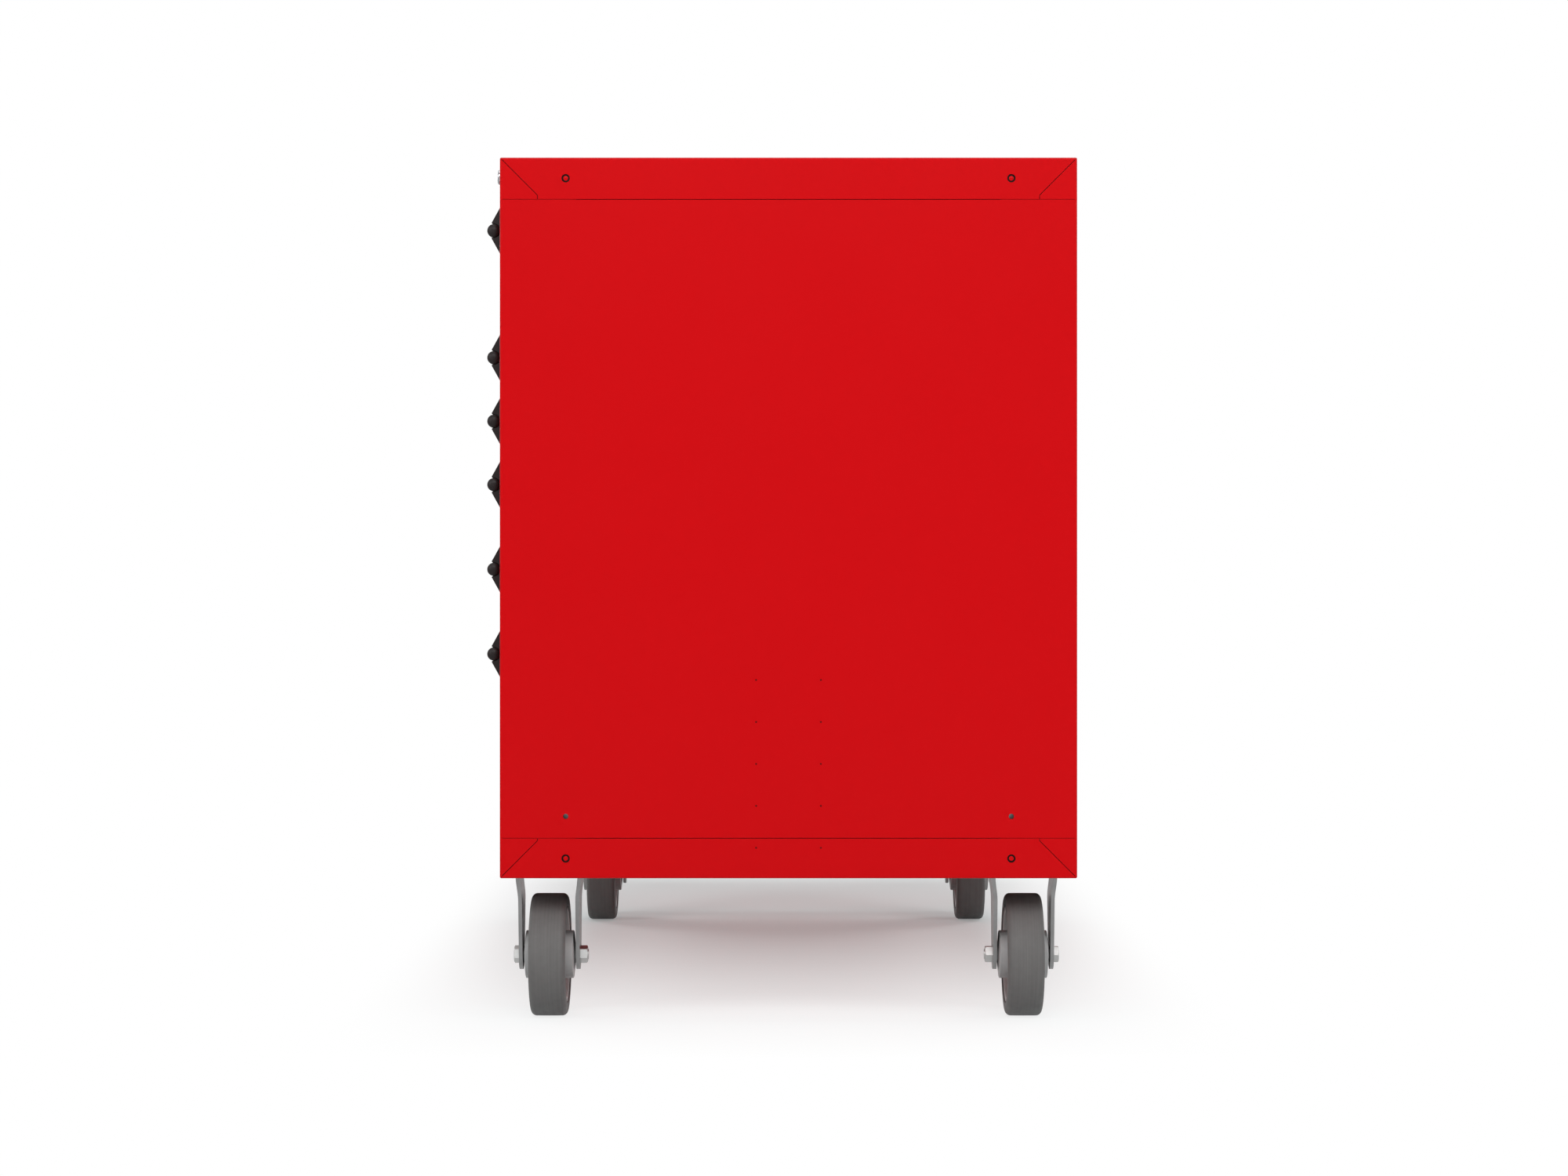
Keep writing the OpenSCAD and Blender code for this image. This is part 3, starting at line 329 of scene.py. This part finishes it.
# Round head with a domed face, standing on its point
dome_tree = bpy.data.node_groups.new("domed_heads", "GeometryNodeTree")
dome_tree.interface.new_socket("Geometry", in_out="OUTPUT", socket_type="NodeSocketGeometry")
add_socket(dome_tree, "Geometry", "Geometry")
add_socket(dome_tree, "Radius", "Float", 0.003)
add_socket(dome_tree, "Height", "Float", 0.001)
add_socket(dome_tree, "Dome", "Float", 0.0004)
add_socket(dome_tree, "Material", "Material")
tree_in = dome_tree.nodes.new("NodeGroupInput")
tree_out = dome_tree.nodes.new("NodeGroupOutput")
disc = add_node(dome_tree, "GeometryNodeMeshCylinder", fill_type="TRIANGLE_FAN",
                values={"Vertices": 36, "Side Segments": 1, "Fill Segments": 5})
place = add_node(dome_tree, "GeometryNodeInputPosition")
parts = add_node(dome_tree, "ShaderNodeSeparateXYZ")
raised = add_node(dome_tree, "GeometryNodeSetPosition")
lift = add_node(dome_tree, "ShaderNodeCombineXYZ")
dome_tree.links.new(tree_in.outputs["Radius"], disc.inputs["Radius"])
dome_tree.links.new(tree_in.outputs["Height"], disc.inputs["Depth"])
dome_tree.links.new(place.outputs["Position"], parts.inputs["Vector"])
across = math_node(dome_tree, "ADD", math_node(dome_tree, "POWER", parts.outputs["X"], 2.0),
                   math_node(dome_tree, "POWER", parts.outputs["Y"], 2.0))
edge_share = math_node(dome_tree, "DIVIDE", across,
                       math_node(dome_tree, "POWER", tree_in.outputs["Radius"], 2.0))
crown = math_node(dome_tree, "MULTIPLY", math_node(dome_tree, "SUBTRACT", 1.0, edge_share),
                  tree_in.outputs["Dome"])
on_top = math_node(dome_tree, "GREATER_THAN", parts.outputs["Z"], 0.0)
half_height = math_node(dome_tree, "MULTIPLY", tree_in.outputs["Height"], 0.5)
dome_tree.links.new(math_node(dome_tree, "ADD", half_height, math_node(dome_tree, "MULTIPLY", crown, on_top)),
                    lift.inputs["Z"])
dome_tree.links.new(disc.outputs["Mesh"], raised.inputs["Geometry"])
dome_tree.links.new(lift.outputs["Vector"], raised.inputs["Offset"])
place_on_points(dome_tree, tree_in, tree_out, raised.outputs["Geometry"])

# Near-black disc under each screw head: painted shade for the dark gap round the head
shade_ring_black = coated("black_ring_painted_shade", (0.012, 0.003, 0.003), (0.009, 0.002, 0.002),
                      rough=0.6, rough_spread=0.05, peel=900.0, specular=0.1, cloud=60.0)
sheet = 0.002
ring_seat = body_high[0] - sheet
shade_ring_r = 0.00495
ring_low, ring_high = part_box("ringed_screws")
ring_ys = (ring_low[1] + shade_ring_r, ring_high[1] - shade_ring_r)
ring_zs = (ring_low[2] + shade_ring_r, ring_high[2] - shade_ring_r)
ring_spots = [((side * ring_seat, y, z), (side, 0, 0), 0.0)
              for side in (-1, 1) for y in ring_ys for z in ring_zs]
ring_heads = fasteners("ringed_screw_heads", dome_tree, "cabinet", red_coat, ring_spots,
                       {"Radius": 0.0029, "Height": 0.0012, "Dome": 0.0005})
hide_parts("ringed_screws")
fasteners("ringed_screw_shade_rings", dome_tree, "cabinet", shade_ring_black, ring_spots,
          {"Radius": shade_ring_r, "Height": 0.0004, "Dome": 0.0})

# The fill is dark red: painted shade for the shallow dimples the holes leave
dimple_shade_red = coated("paint_fill_painted_shade", (0.13, 0.0010, 0.0018), (0.10, 0.0008, 0.0015),
                    rough=0.5, rough_spread=0.03, peel=600.0, specular=0.1, cloud=60.0)
pilot_floor = body_high[0] - sheet / 2
pilot_half_span = 0.0395
pilot_low = 0.2164
pilot_pitch = 0.0512
pilot_rows = 5
pilot_spots = [((side * pilot_floor, body_centre.y + column * pilot_half_span, pilot_low + row * pilot_pitch),
                (side, 0, 0), 0.0)
               for side in (-1, 1) for column in (-1, 1) for row in range(pilot_rows)]
fasteners("pilot_hole_paint", dome_tree, "cabinet", dimple_shade_red, pilot_spots,
          {"Radius": 0.00118, "Height": 0.0006, "Dome": 0.0})

rivet_sunk = 0.00002
back_face = body_high[1] - rivet_sunk
flange_x = middle("side_panel_right").x
flange_rivets = 7
flange_rivet_low = 0.26
flange_rivet_pitch = 0.12
band_rivets = 9
band_rivet_left = -0.62
band_rivet_pitch = 0.155
rivet_spots = [((side * flange_x, back_face, flange_rivet_low + row * flange_rivet_pitch), (0, 1, 0), 0.0)
               for side in (-1, 1) for row in range(flange_rivets)]
rivet_spots += [((band_rivet_left + column * band_rivet_pitch, back_face, z), (0, 1, 0), 0.0)
                for z in ring_zs for column in range(band_rivets)]
fasteners("back_rivets", dome_tree, "cabinet", red_coat, rivet_spots,
          {"Radius": 0.004, "Height": 0.0004, "Dome": 0.0005})


# Slide posts, fixed rails and carriages: rolled steel channels. The rails and carriages are bright
# zinc plated, with a faint spangle and drawn lines, and the carriages have rivet heads. The posts
# behind them are coloured near black: painted shade for the dark seen through the open side holes.
zinc_rough = 0.34
zinc = coated("bright_zinc_plate", (0.50, 0.505, 0.51), (0.41, 0.415, 0.42),
              rough=zinc_rough, rough_spread=0.06, peel=600.0, metallic=1.0, cloud=22.0, bump=0.1,
              lines=(60.0, 4.0, 900.0))
rolled_edge = 0.0003
drawers = sorted(name.removesuffix("_tray") for name in nodes if name.endswith("_tray"))
for name in ["fixed_rails"] + [d + "_carriage" for d in drawers]:
    finish_node(name, zinc, rolled_edge)
# Near-black posts: painted shade for the dark seen through the open holes in the sides
post_painted_shade = coated("post_painted_shade", (0.012, 0.012, 0.0125), (0.009, 0.009, 0.0093),
                        rough=0.55, rough_spread=0.06, peel=600.0, metallic=1.0, cloud=22.0, bump=0.1)
finish_node("slide_posts", post_painted_shade, rolled_edge)
slide_rivet = {"Radius": 0.0032, "Height": 0.00015, "Dome": 0.00015}
rivet_shares = (0.06, 0.3, 0.55, 0.8, 0.95)
for drawer in drawers:
    low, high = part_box(drawer + "_carriage")
    rivets_y = [low[1] + share * (high[1] - low[1]) for share in rivet_shares]
    rivets_z = (low[2] + high[2]) / 2
    rivet_places = [((x, y, rivets_z), (out, 0, 0), 0.0)
                    for x, out in ((low[0], -1), (high[0], 1)) for y in rivets_y]
    fasteners(drawer + "_carriage_rivets", dome_tree, drawer + "_slide", zinc,
              rivet_places, slide_rivet)


# Lock: a chromed collar and plug in the top band. Behind the stiles a zinc-plated frame with a
# tab for each drawer rides on the plug's cam.
chrome = coated("polished_chrome", (0.36, 0.36, 0.37), (0.31, 0.31, 0.32),
                rough=0.16, rough_spread=0.04, peel=900.0, metallic=1.0, cloud=40.0, bump=0.03)
lock_edge = 0.0006
for name in ("lock_housing", "lock_plug"):
    finish_node(name, chrome, lock_edge)
finish_node("lock_frame", zinc, rolled_edge)


# Caster forks and plates: legs pressed from thick sheet and welded under a bolted plate, dull
# zinc plated. The two on the right are rigid, the two on the left swivel on a kingpin.
fork_zinc = coated("dull_zinc_plate", (0.285, 0.285, 0.285), (0.225, 0.225, 0.225),
                   rough=0.42, rough_spread=0.06, peel=500.0, metallic=1.0, cloud=24.0)
fork_edge = 0.0006
for name in ("backing_plates", "rigid_brackets", "swivel_plates", "swivel_fork_front", "swivel_fork_rear"):
    finish_node(name, fork_zinc, fork_edge)


# Caster bolts and axles: bright plated hexagon bolts with chamfered heads and nuts. Four hold
# each caster plate to the base, heads inside; one runs through each fork as the wheel's axle.
hex_tree = bpy.data.node_groups.new("hex_block", "GeometryNodeTree")
hex_tree.interface.new_socket("Geometry", in_out="OUTPUT", socket_type="NodeSocketGeometry")
add_socket(hex_tree, "Across flats", "Float", 0.019)
add_socket(hex_tree, "Height", "Float", 0.007)
tree_in = hex_tree.nodes.new("NodeGroupInput")
tree_out = hex_tree.nodes.new("NodeGroupOutput")
# A unit drum with rings of points at heights of -0.5, 0 and 0.5 is drawn in to six flats as seat,
# shoulder and face. The face is narrower than the flats, so the corners are chamfered.
ring_half_step = 0.25
face_share = 0.95
chamfer_slope = math.tan(math.radians(30))
block = add_node(hex_tree, "GeometryNodeMeshCylinder", fill_type="NGON",
                 values={"Vertices": 48, "Side Segments": 2, "Fill Segments": 1, "Radius": 1.0, "Depth": 1.0})
place = add_node(hex_tree, "GeometryNodeInputPosition")
parts = add_node(hex_tree, "ShaderNodeSeparateXYZ")
hex_tree.links.new(place.outputs["Position"], parts.inputs["Vector"])
angle = math_node(hex_tree, "ARCTAN2", parts.outputs["Y"], parts.outputs["X"])
off_flat = math_node(hex_tree, "SUBTRACT",
                     math_node(hex_tree, "FLOORED_MODULO", angle, math.pi / 3), math.pi / 6)
half_flats = math_node(hex_tree, "MULTIPLY", tree_in.outputs["Across flats"], 0.5)
hex_reach = math_node(hex_tree, "DIVIDE", half_flats, math_node(hex_tree, "COSINE", off_flat))
face_reach = math_node(hex_tree, "MULTIPLY", half_flats, face_share)
chamfer = math_node(hex_tree, "MULTIPLY", math_node(hex_tree, "SUBTRACT", hex_reach, face_reach),
                    chamfer_slope)
shoulder = math_node(hex_tree, "SUBTRACT", tree_in.outputs["Height"], chamfer)
at_face = math_node(hex_tree, "GREATER_THAN", parts.outputs["Z"], ring_half_step)
above_seat = math_node(hex_tree, "GREATER_THAN", parts.outputs["Z"], -ring_half_step)
at_shoulder = math_node(hex_tree, "SUBTRACT", above_seat, at_face)
drawn_in = math_node(hex_tree, "MULTIPLY", at_face, math_node(hex_tree, "SUBTRACT", face_reach, hex_reach))
reach = math_node(hex_tree, "ADD", hex_reach, drawn_in)
rise = math_node(hex_tree, "ADD", math_node(hex_tree, "MULTIPLY", at_face, tree_in.outputs["Height"]),
                 math_node(hex_tree, "MULTIPLY", at_shoulder, shoulder))
corner = add_node(hex_tree, "ShaderNodeCombineXYZ")
for turn_function, axis in (("COSINE", "X"), ("SINE", "Y")):
    along = math_node(hex_tree, "MULTIPLY", reach, math_node(hex_tree, turn_function, angle))
    hex_tree.links.new(along, corner.inputs[axis])
hex_tree.links.new(rise, corner.inputs["Z"])
shaped = add_node(hex_tree, "GeometryNodeSetPosition")
hex_tree.links.new(block.outputs["Mesh"], shaped.inputs["Geometry"])
hex_tree.links.new(corner.outputs["Vector"], shaped.inputs["Position"])
hex_tree.links.new(shaped.outputs["Geometry"], tree_out.inputs["Geometry"])

# Bolt with its head on its point, the shank running back from there and the nut at the end of the grip
bolt_tree = bpy.data.node_groups.new("hex_bolts", "GeometryNodeTree")
bolt_tree.interface.new_socket("Geometry", in_out="OUTPUT", socket_type="NodeSocketGeometry")
add_socket(bolt_tree, "Geometry", "Geometry")
for label, size in (("Across flats", 0.019), ("Head height", 0.007), ("Nut height", 0.0095), ("Grip", 0.0756),
                    ("Shank radius", 0.00635), ("Thread end", 0.0008)):
    add_socket(bolt_tree, label, "Float", size)
add_socket(bolt_tree, "Material", "Material")
tree_in = bolt_tree.nodes.new("NodeGroupInput")
tree_out = bolt_tree.nodes.new("NodeGroupOutput")
head = add_node(bolt_tree, "GeometryNodeGroup", node_tree=hex_tree)
nut = add_node(bolt_tree, "GeometryNodeGroup", node_tree=hex_tree)
bolt_tree.links.new(tree_in.outputs["Across flats"], head.inputs["Across flats"])
bolt_tree.links.new(tree_in.outputs["Head height"], head.inputs["Height"])
bolt_tree.links.new(tree_in.outputs["Across flats"], nut.inputs["Across flats"])
bolt_tree.links.new(tree_in.outputs["Nut height"], nut.inputs["Height"])
nut_seat = add_node(bolt_tree, "ShaderNodeCombineXYZ")
bolt_tree.links.new(math_node(bolt_tree, "MULTIPLY", tree_in.outputs["Grip"], -1.0), nut_seat.inputs["Z"])
nut_placed = add_node(bolt_tree, "GeometryNodeTransform", values={"Rotation": (math.pi, 0.0, 0.0)})
bolt_tree.links.new(nut.outputs["Geometry"], nut_placed.inputs["Geometry"])
bolt_tree.links.new(nut_seat.outputs["Vector"], nut_placed.inputs["Translation"])
grip_and_nut = math_node(bolt_tree, "ADD", tree_in.outputs["Grip"], tree_in.outputs["Nut height"])
run = math_node(bolt_tree, "ADD", grip_and_nut, tree_in.outputs["Thread end"])
shank = add_node(bolt_tree, "GeometryNodeMeshCylinder", fill_type="NGON",
                 values={"Vertices": 32, "Side Segments": 1, "Fill Segments": 1})
bolt_tree.links.new(tree_in.outputs["Shank radius"], shank.inputs["Radius"])
bolt_tree.links.new(run, shank.inputs["Depth"])
shank_middle = add_node(bolt_tree, "ShaderNodeCombineXYZ")
bolt_tree.links.new(math_node(bolt_tree, "MULTIPLY", run, -0.5), shank_middle.inputs["Z"])
shank_placed = add_node(bolt_tree, "GeometryNodeTransform")
bolt_tree.links.new(shank.outputs["Mesh"], shank_placed.inputs["Geometry"])
bolt_tree.links.new(shank_middle.outputs["Vector"], shank_placed.inputs["Translation"])
whole = add_node(bolt_tree, "GeometryNodeJoinGeometry")
for part in (shank_placed, nut_placed, head):
    bolt_tree.links.new(part.outputs["Geometry"], whole.inputs["Geometry"])
place_on_points(bolt_tree, tree_in, tree_out, whole.outputs["Geometry"])

plated = coated("bright_plated_bolts", (0.48, 0.48, 0.475), (0.42, 0.42, 0.415),
                rough=0.42, rough_spread=0.05, peel=900.0, metallic=1.0, cloud=60.0, bump=0.08)
rigid_hub = middle("hub_front_right")
caster_x, axle_z = rigid_hub.x, rigid_hub.z
swivel_axle_x = middle("hub_front_left").x
caster_ys = {end: middle("hub_" + end + "_right").y for end in ("front", "rear")}
fork_low, fork_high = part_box("swivel_fork_front")
leg_out = (fork_high[1] - fork_low[1]) / 2
plate_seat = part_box("backing_plates")[1][2]
bolt_half_x = 0.046
bolt_half_y = 0.03335
turn_by_x = 12.0
turn_by_y = 25.0
plate_bolts = [((side * caster_x + bx * bolt_half_x, y + by * bolt_half_y, plate_seat), (0, 0, 1),
                turn_by_x * bx + turn_by_y * by)
               for side in (-1, 1) for y in caster_ys.values() for bx in (-1, 1) for by in (-1, 1)]
bolts = fasteners("caster_plate_bolts", bolt_tree, "cabinet", plated, plate_bolts,
                  {"Across flats": 0.0143, "Head height": 0.006, "Nut height": 0.006, "Grip": 0.011,
                   "Shank radius": 0.00455, "Thread end": 0.0006})
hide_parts("caster_bolts")
axle_sizes = {"Across flats": 0.019, "Head height": 0.007, "Nut height": 0.0095, "Grip": 2 * leg_out,
              "Shank radius": 0.00635, "Thread end": 0.0008}
outward = {"front": -1, "rear": 1}
axle_turn = {"front": 100.0, "rear": 60.0}
swivel_axle_turn = 90.0
axles = fasteners("rigid_caster_axles", bolt_tree, "cabinet", plated,
                  [((caster_x, y + outward[end] * leg_out, axle_z), (0, outward[end], 0), axle_turn[end])
                   for end, y in caster_ys.items()], axle_sizes)
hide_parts("rigid_axle_bolts")
for end, y in caster_ys.items():
    axle_place = (swivel_axle_x, y + outward[end] * leg_out, axle_z)
    axle = fasteners("swivel_caster_axle_" + end, bolt_tree, "swivel_" + end, plated,
                     [(axle_place, (0, outward[end], 0), swivel_axle_turn)], axle_sizes)
    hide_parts("swivel_axle_" + end)


# Hubs: moulded grey cores with a boss on each side and a sleeve that runs on the axle. The mould
# leaves an even, slightly mottled satin skin.
hub_grey = coated("moulded_hub_grey", (0.40, 0.40, 0.40), (0.35, 0.35, 0.35),
                  rough=0.5, rough_spread=0.06, peel=500.0, cloud=30.0)
hub_edge = 0.0008
for corner_name in ("front_right", "rear_right", "front_left", "rear_left"):
    finish_node("hub_" + corner_name, hub_grey, hub_edge)


# Tyres: grey non-marking rubber moulded onto the hubs, with rounded shoulders and the mould's
# parting line round the middle of the tread. The tread is faintly streaked along its run.
tread_grey = coated("grey_rubber", (0.128, 0.124, 0.122), (0.104, 0.101, 0.099),
                    rough=0.70, rough_spread=0.08, peel=700.0, cloud=26.0, bump=0.3, lines=(6.0, 420.0, 6.0))
tyre_low, tyre_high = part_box("tyre_front_right")
tyre_r = axle_z
tyre_half = (tyre_high[1] - tyre_low[1]) / 2
tyre_inner_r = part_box("hub_front_right")[1][2] - axle_z
rim_chamfer = 0.0006
shoulder_r = 0.0065
shoulder_low = 0.0002
shoulder_steps = 8
tread_low = 0.0001
side_profile = [(tyre_inner_r, tyre_half - rim_chamfer), (tyre_inner_r + rim_chamfer, tyre_half)]
for step in range(shoulder_steps + 1):
    lean = math.radians(90 - step * 90 / shoulder_steps)
    side_profile.append((tyre_r - shoulder_low - shoulder_r * (1 - math.cos(lean)),
                         tyre_half - shoulder_r * (1 - math.sin(lean))))
mould_line = [(tread_low, 0.008), (tread_low, 0.0008), (tread_low, 0.0005), (0.0, 0.0002)]
side_profile += [(tyre_r - below, off_middle) for below, off_middle in mould_line]
tyre_profile = side_profile + [(r, -y) for r, y in reversed(side_profile)]
tyre_steps = 128
for corner_name, wheel_x in (("front_right", caster_x), ("rear_right", caster_x),
                             ("front_left", swivel_axle_x), ("rear_left", swivel_axle_x)):
    wheel_y = caster_ys[corner_name.split("_")[0]]
    ring = bmesh.new()
    loops = []
    for step in range(tyre_steps):
        around = 2 * math.pi * step / tyre_steps
        loops.append([ring.verts.new((wheel_x + r * math.cos(around), wheel_y + y,
                                      axle_z + r * math.sin(around)))
                      for r, y in tyre_profile])
    for step, loop in enumerate(loops):
        after = loops[(step + 1) % tyre_steps]
        for spot in range(len(loop)):
            ahead = (spot + 1) % len(loop)
            ring.faces.new((loop[spot], loop[ahead], after[ahead], after[spot]))
    bmesh.ops.recalc_face_normals(ring, faces=ring.faces)
    tyre_mesh = bpy.data.meshes.new("tyre_tread_" + corner_name)
    ring.to_mesh(tyre_mesh)
    ring.free()
    tyre_mesh.materials.append(tread_grey)
    tyre = bpy.data.objects.new("tyre_tread_" + corner_name, tyre_mesh)
    bpy.context.scene.collection.objects.link(tyre)
    shade = tyre.modifiers.new("smooth shading", "NODES")
    shade.node_group = smooth_tree
    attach(tyre, "wheel_" + corner_name)
    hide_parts("tyre_" + corner_name)


# Drawers: folded steel trays coated like the body, each hung on two slides by the runners on its
# walls. Each has a full-width pull, a black extruded rail between two moulded end caps.
pull_black = coated("satin_black", (0.014, 0.010, 0.010), (0.011, 0.008, 0.008),
                    rough=0.42, rough_spread=0.04, peel=500.0, specular=0.2, cloud=20.0)

# The runners on a tray's walls are zinc, and all else is red: 1 on the runners, 0 elsewhere
runner_zinc = (0.46, 0.465, 0.47, 1.0)
face_to_wall = 0.0113
face_d = 0.014
face_low, face_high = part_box("drawer_right_1_tray")
inner_reach = face_low[0] + face_to_wall
outer_reach = face_high[0] - face_to_wall
runner_group, group_in, group_out = new_group(
    "runner_mask", {"Outer wall": outer_reach, "Inner wall": inner_reach, "Face back": body_low[1] + face_d},
    ["Mask"])
coords = add_node(runner_group, "ShaderNodeTexCoord")
apart = add_node(runner_group, "ShaderNodeSeparateXYZ")
runner_group.links.new(coords.outputs["Object"], apart.inputs["Vector"])
off_centre = math_node(runner_group, "ABSOLUTE", apart.outputs["X"])
beside = math_node(runner_group, "ADD",
                   math_node(runner_group, "GREATER_THAN", off_centre, group_in.outputs["Outer wall"]),
                   math_node(runner_group, "LESS_THAN", off_centre, group_in.outputs["Inner wall"]))
behind_face = math_node(runner_group, "GREATER_THAN", apart.outputs["Y"], group_in.outputs["Face back"])
runner_group.links.new(math_node(runner_group, "MULTIPLY", beside, behind_face), group_out.inputs["Mask"])


def tray_coat(name, inner_wall):
    """Red coat with zinc runners outside the tray's walls."""
    material = red_coat.copy()
    material.name = name
    tree = material.node_tree
    shader = tree.nodes["Principled BSDF"]
    runner = add_node(tree, "ShaderNodeGroup", node_tree=runner_group, values={"Inner wall": inner_wall})
    plated_colour = add_node(tree, "ShaderNodeMix", data_type="RGBA")
    plated_colour.inputs["B"].default_value = runner_zinc
    plated_rough = add_node(tree, "ShaderNodeMix", data_type="FLOAT")
    plated_rough.inputs["B"].default_value = zinc_rough
    for mix, target in ((plated_colour, shader.inputs["Base Color"]),
                        (plated_rough, shader.inputs["Roughness"])):
        tree.links.new(target.links[0].from_socket, mix.inputs["A"])
        tree.links.new(runner.outputs["Mask"], mix.inputs["Factor"])
        tree.links.new(mix.outputs["Result"], target)
    tree.links.new(runner.outputs["Mask"], shader.inputs["Metallic"])
    return material


bank_tray_red = tray_coat("red_bank_tray", inner_reach)
no_inner_wall = -1.0
top_tray_red = tray_coat("red_top_tray", no_inner_wall)
tray_edge = 0.0003
pull_edge = 0.00025
for drawer in drawers:
    finish_node(drawer + "_tray", top_tray_red if drawer == "drawer_top" else bank_tray_red, tray_edge)
    finish_node(drawer + "_pull", pull_black, pull_edge)


# Studio: a pale floor that fades to white, soft boxes at the four corners, overhead and on the
# right, and a level camera square to the right-hand side at half height.
def seen_rays(tree):
    """1 for rays that show the background: straight, mirrored or through glass."""
    path = add_node(tree, "ShaderNodeLightPath")
    mirrored = math_node(tree, "MAXIMUM", path.outputs["Is Glossy Ray"], path.outputs["Is Transmission Ray"])
    return math_node(tree, "MAXIMUM", path.outputs["Is Camera Ray"], mirrored)


floor_half = 30.0
floor_mesh = bpy.data.meshes.new("floor")
floor_mesh.from_pydata([(-floor_half, -floor_half, 0), (floor_half, -floor_half, 0),
                        (floor_half, floor_half, 0), (-floor_half, floor_half, 0)], [], [(0, 1, 2, 3)])
floor = bpy.data.objects.new("floor", floor_mesh)
bpy.context.scene.collection.objects.link(floor)
pale = bpy.data.materials.new("pale_floor")
pale.use_nodes = True
tree = pale.node_tree
matte = tree.nodes["Principled BSDF"]
matte.inputs["Base Color"].default_value = (0.84, 0.89, 0.89, 1)
matte.inputs["Roughness"].default_value = 0.9
matte.inputs["Specular IOR Level"].default_value = 0.1
white = add_node(tree, "ShaderNodeEmission", values={"Color": (1, 1, 1, 1), "Strength": 1.0})
coords = add_node(tree, "ShaderNodeTexCoord")
spot = add_node(tree, "ShaderNodeSeparateXYZ")
tree.links.new(coords.outputs["Object"], spot.inputs["Vector"])
# Shade is full at shade_x and gone at shade_near before it and shade_far behind it, and to the sides
# it goes between shade_in and shade_out
shade_x, shade_near, shade_far = -1.2, 2.2, 0.4
shade_in, shade_out = 0.28, 0.57
fade_power = 1.25
from_shade = math_node(tree, "SUBTRACT", spot.outputs["X"], shade_x)
away = math_node(tree, "MAXIMUM", math_node(tree, "DIVIDE", from_shade, shade_near),
                 math_node(tree, "DIVIDE", from_shade, -shade_far))
fade_x = math_node(tree, "POWER", math_node(tree, "MINIMUM", away, 1.0), fade_power)
fade_y = add_node(tree, "ShaderNodeMapRange", interpolation_type="SMOOTHSTEP",
                  values={"From Min": shade_in, "From Max": shade_out, "To Min": 1.0, "To Max": 0.0})
tree.links.new(math_node(tree, "ABSOLUTE", spot.outputs["Y"]), fade_y.inputs["Value"])
kept = math_node(tree, "MULTIPLY", math_node(tree, "SUBTRACT", 1.0, fade_x), fade_y.outputs["Result"])
fade = math_node(tree, "SUBTRACT", 1.0, kept)
blend = add_node(tree, "ShaderNodeMixShader")
tree.links.new(math_node(tree, "MULTIPLY", seen_rays(tree), fade), blend.inputs["Fac"])
tree.links.new(matte.outputs["BSDF"], blend.inputs[1])
tree.links.new(white.outputs["Emission"], blend.inputs[2])
tree.links.new(blend.outputs["Shader"], tree.nodes["Material Output"].inputs["Surface"])
floor_mesh.materials.append(pale)

world = bpy.data.worlds.new("studio")
world.use_nodes = True
bpy.context.scene.world = world
tree = world.node_tree
ambient = tree.nodes["Background"]
ambient.inputs["Color"].default_value = (1, 1, 1, 1)
ambient.inputs["Strength"].default_value = 0.1
backdrop = add_node(tree, "ShaderNodeBackground", values={"Color": (1, 1, 1, 1), "Strength": 1.0})
blend = add_node(tree, "ShaderNodeMixShader")
tree.links.new(seen_rays(tree), blend.inputs["Fac"])
tree.links.new(ambient.outputs["Background"], blend.inputs[1])
tree.links.new(backdrop.outputs["Background"], blend.inputs[2])
tree.links.new(blend.outputs["Shader"], tree.nodes["World Output"].inputs["Surface"])


def soft_box(name, place, aim, width, height, power):
    """Rectangular area lamp at a place, turned towards a point."""
    lamp = bpy.data.lights.new(name, "AREA")
    lamp.shape = "RECTANGLE"
    lamp.size = width
    lamp.size_y = height
    lamp.energy = power
    lamp_object = bpy.data.objects.new(name, lamp)
    lamp_object.location = place
    lamp_object.rotation_mode = "QUATERNION"
    lamp_object.rotation_quaternion = (Vector(aim) - Vector(place)).to_track_quat("-Z", "Y")
    lamp_object.visible_camera = False
    bpy.context.scene.collection.objects.link(lamp_object)


corner_x, corner_y, corner_z = 3.2, 3.4, 2.2
for x in (-corner_x, corner_x):
    for y in (-corner_y, corner_y):
        soft_box("corner_box", (x, y, corner_z), aim=(0, 0, 0.6), width=2.0, height=2.4, power=60)
soft_box("top_box", (0, 0, 4.2), aim=(0, 0, 0), width=3.5, height=3.0, power=60)
soft_box("key_box", (4.4, 0, 3.2), aim=(0.4, 0, 0.4), width=3.2, height=1.6, power=95)

# The camera's distance from the side face, its place along it, and the scale that the photo has there
# in pixels a metre
side_x = body_high[0]
camera_gap = 4.0
camera_y = 0.0037
camera_z = 0.5335
side_scale = 1045.2
photo_width = 2000
camera_data = bpy.data.cameras.new("camera")
camera_data.sensor_width = 36.0
camera_data.lens = side_scale * camera_gap / photo_width * camera_data.sensor_width
camera_data.clip_end = 100.0
camera = bpy.data.objects.new("camera", camera_data)
camera.location = (side_x + camera_gap, camera_y, camera_z)
camera.rotation_euler = (math.radians(90), 0, math.radians(90))
bpy.context.scene.collection.objects.link(camera)
bpy.context.scene.camera = camera
bpy.context.scene.view_settings.view_transform = "Standard"
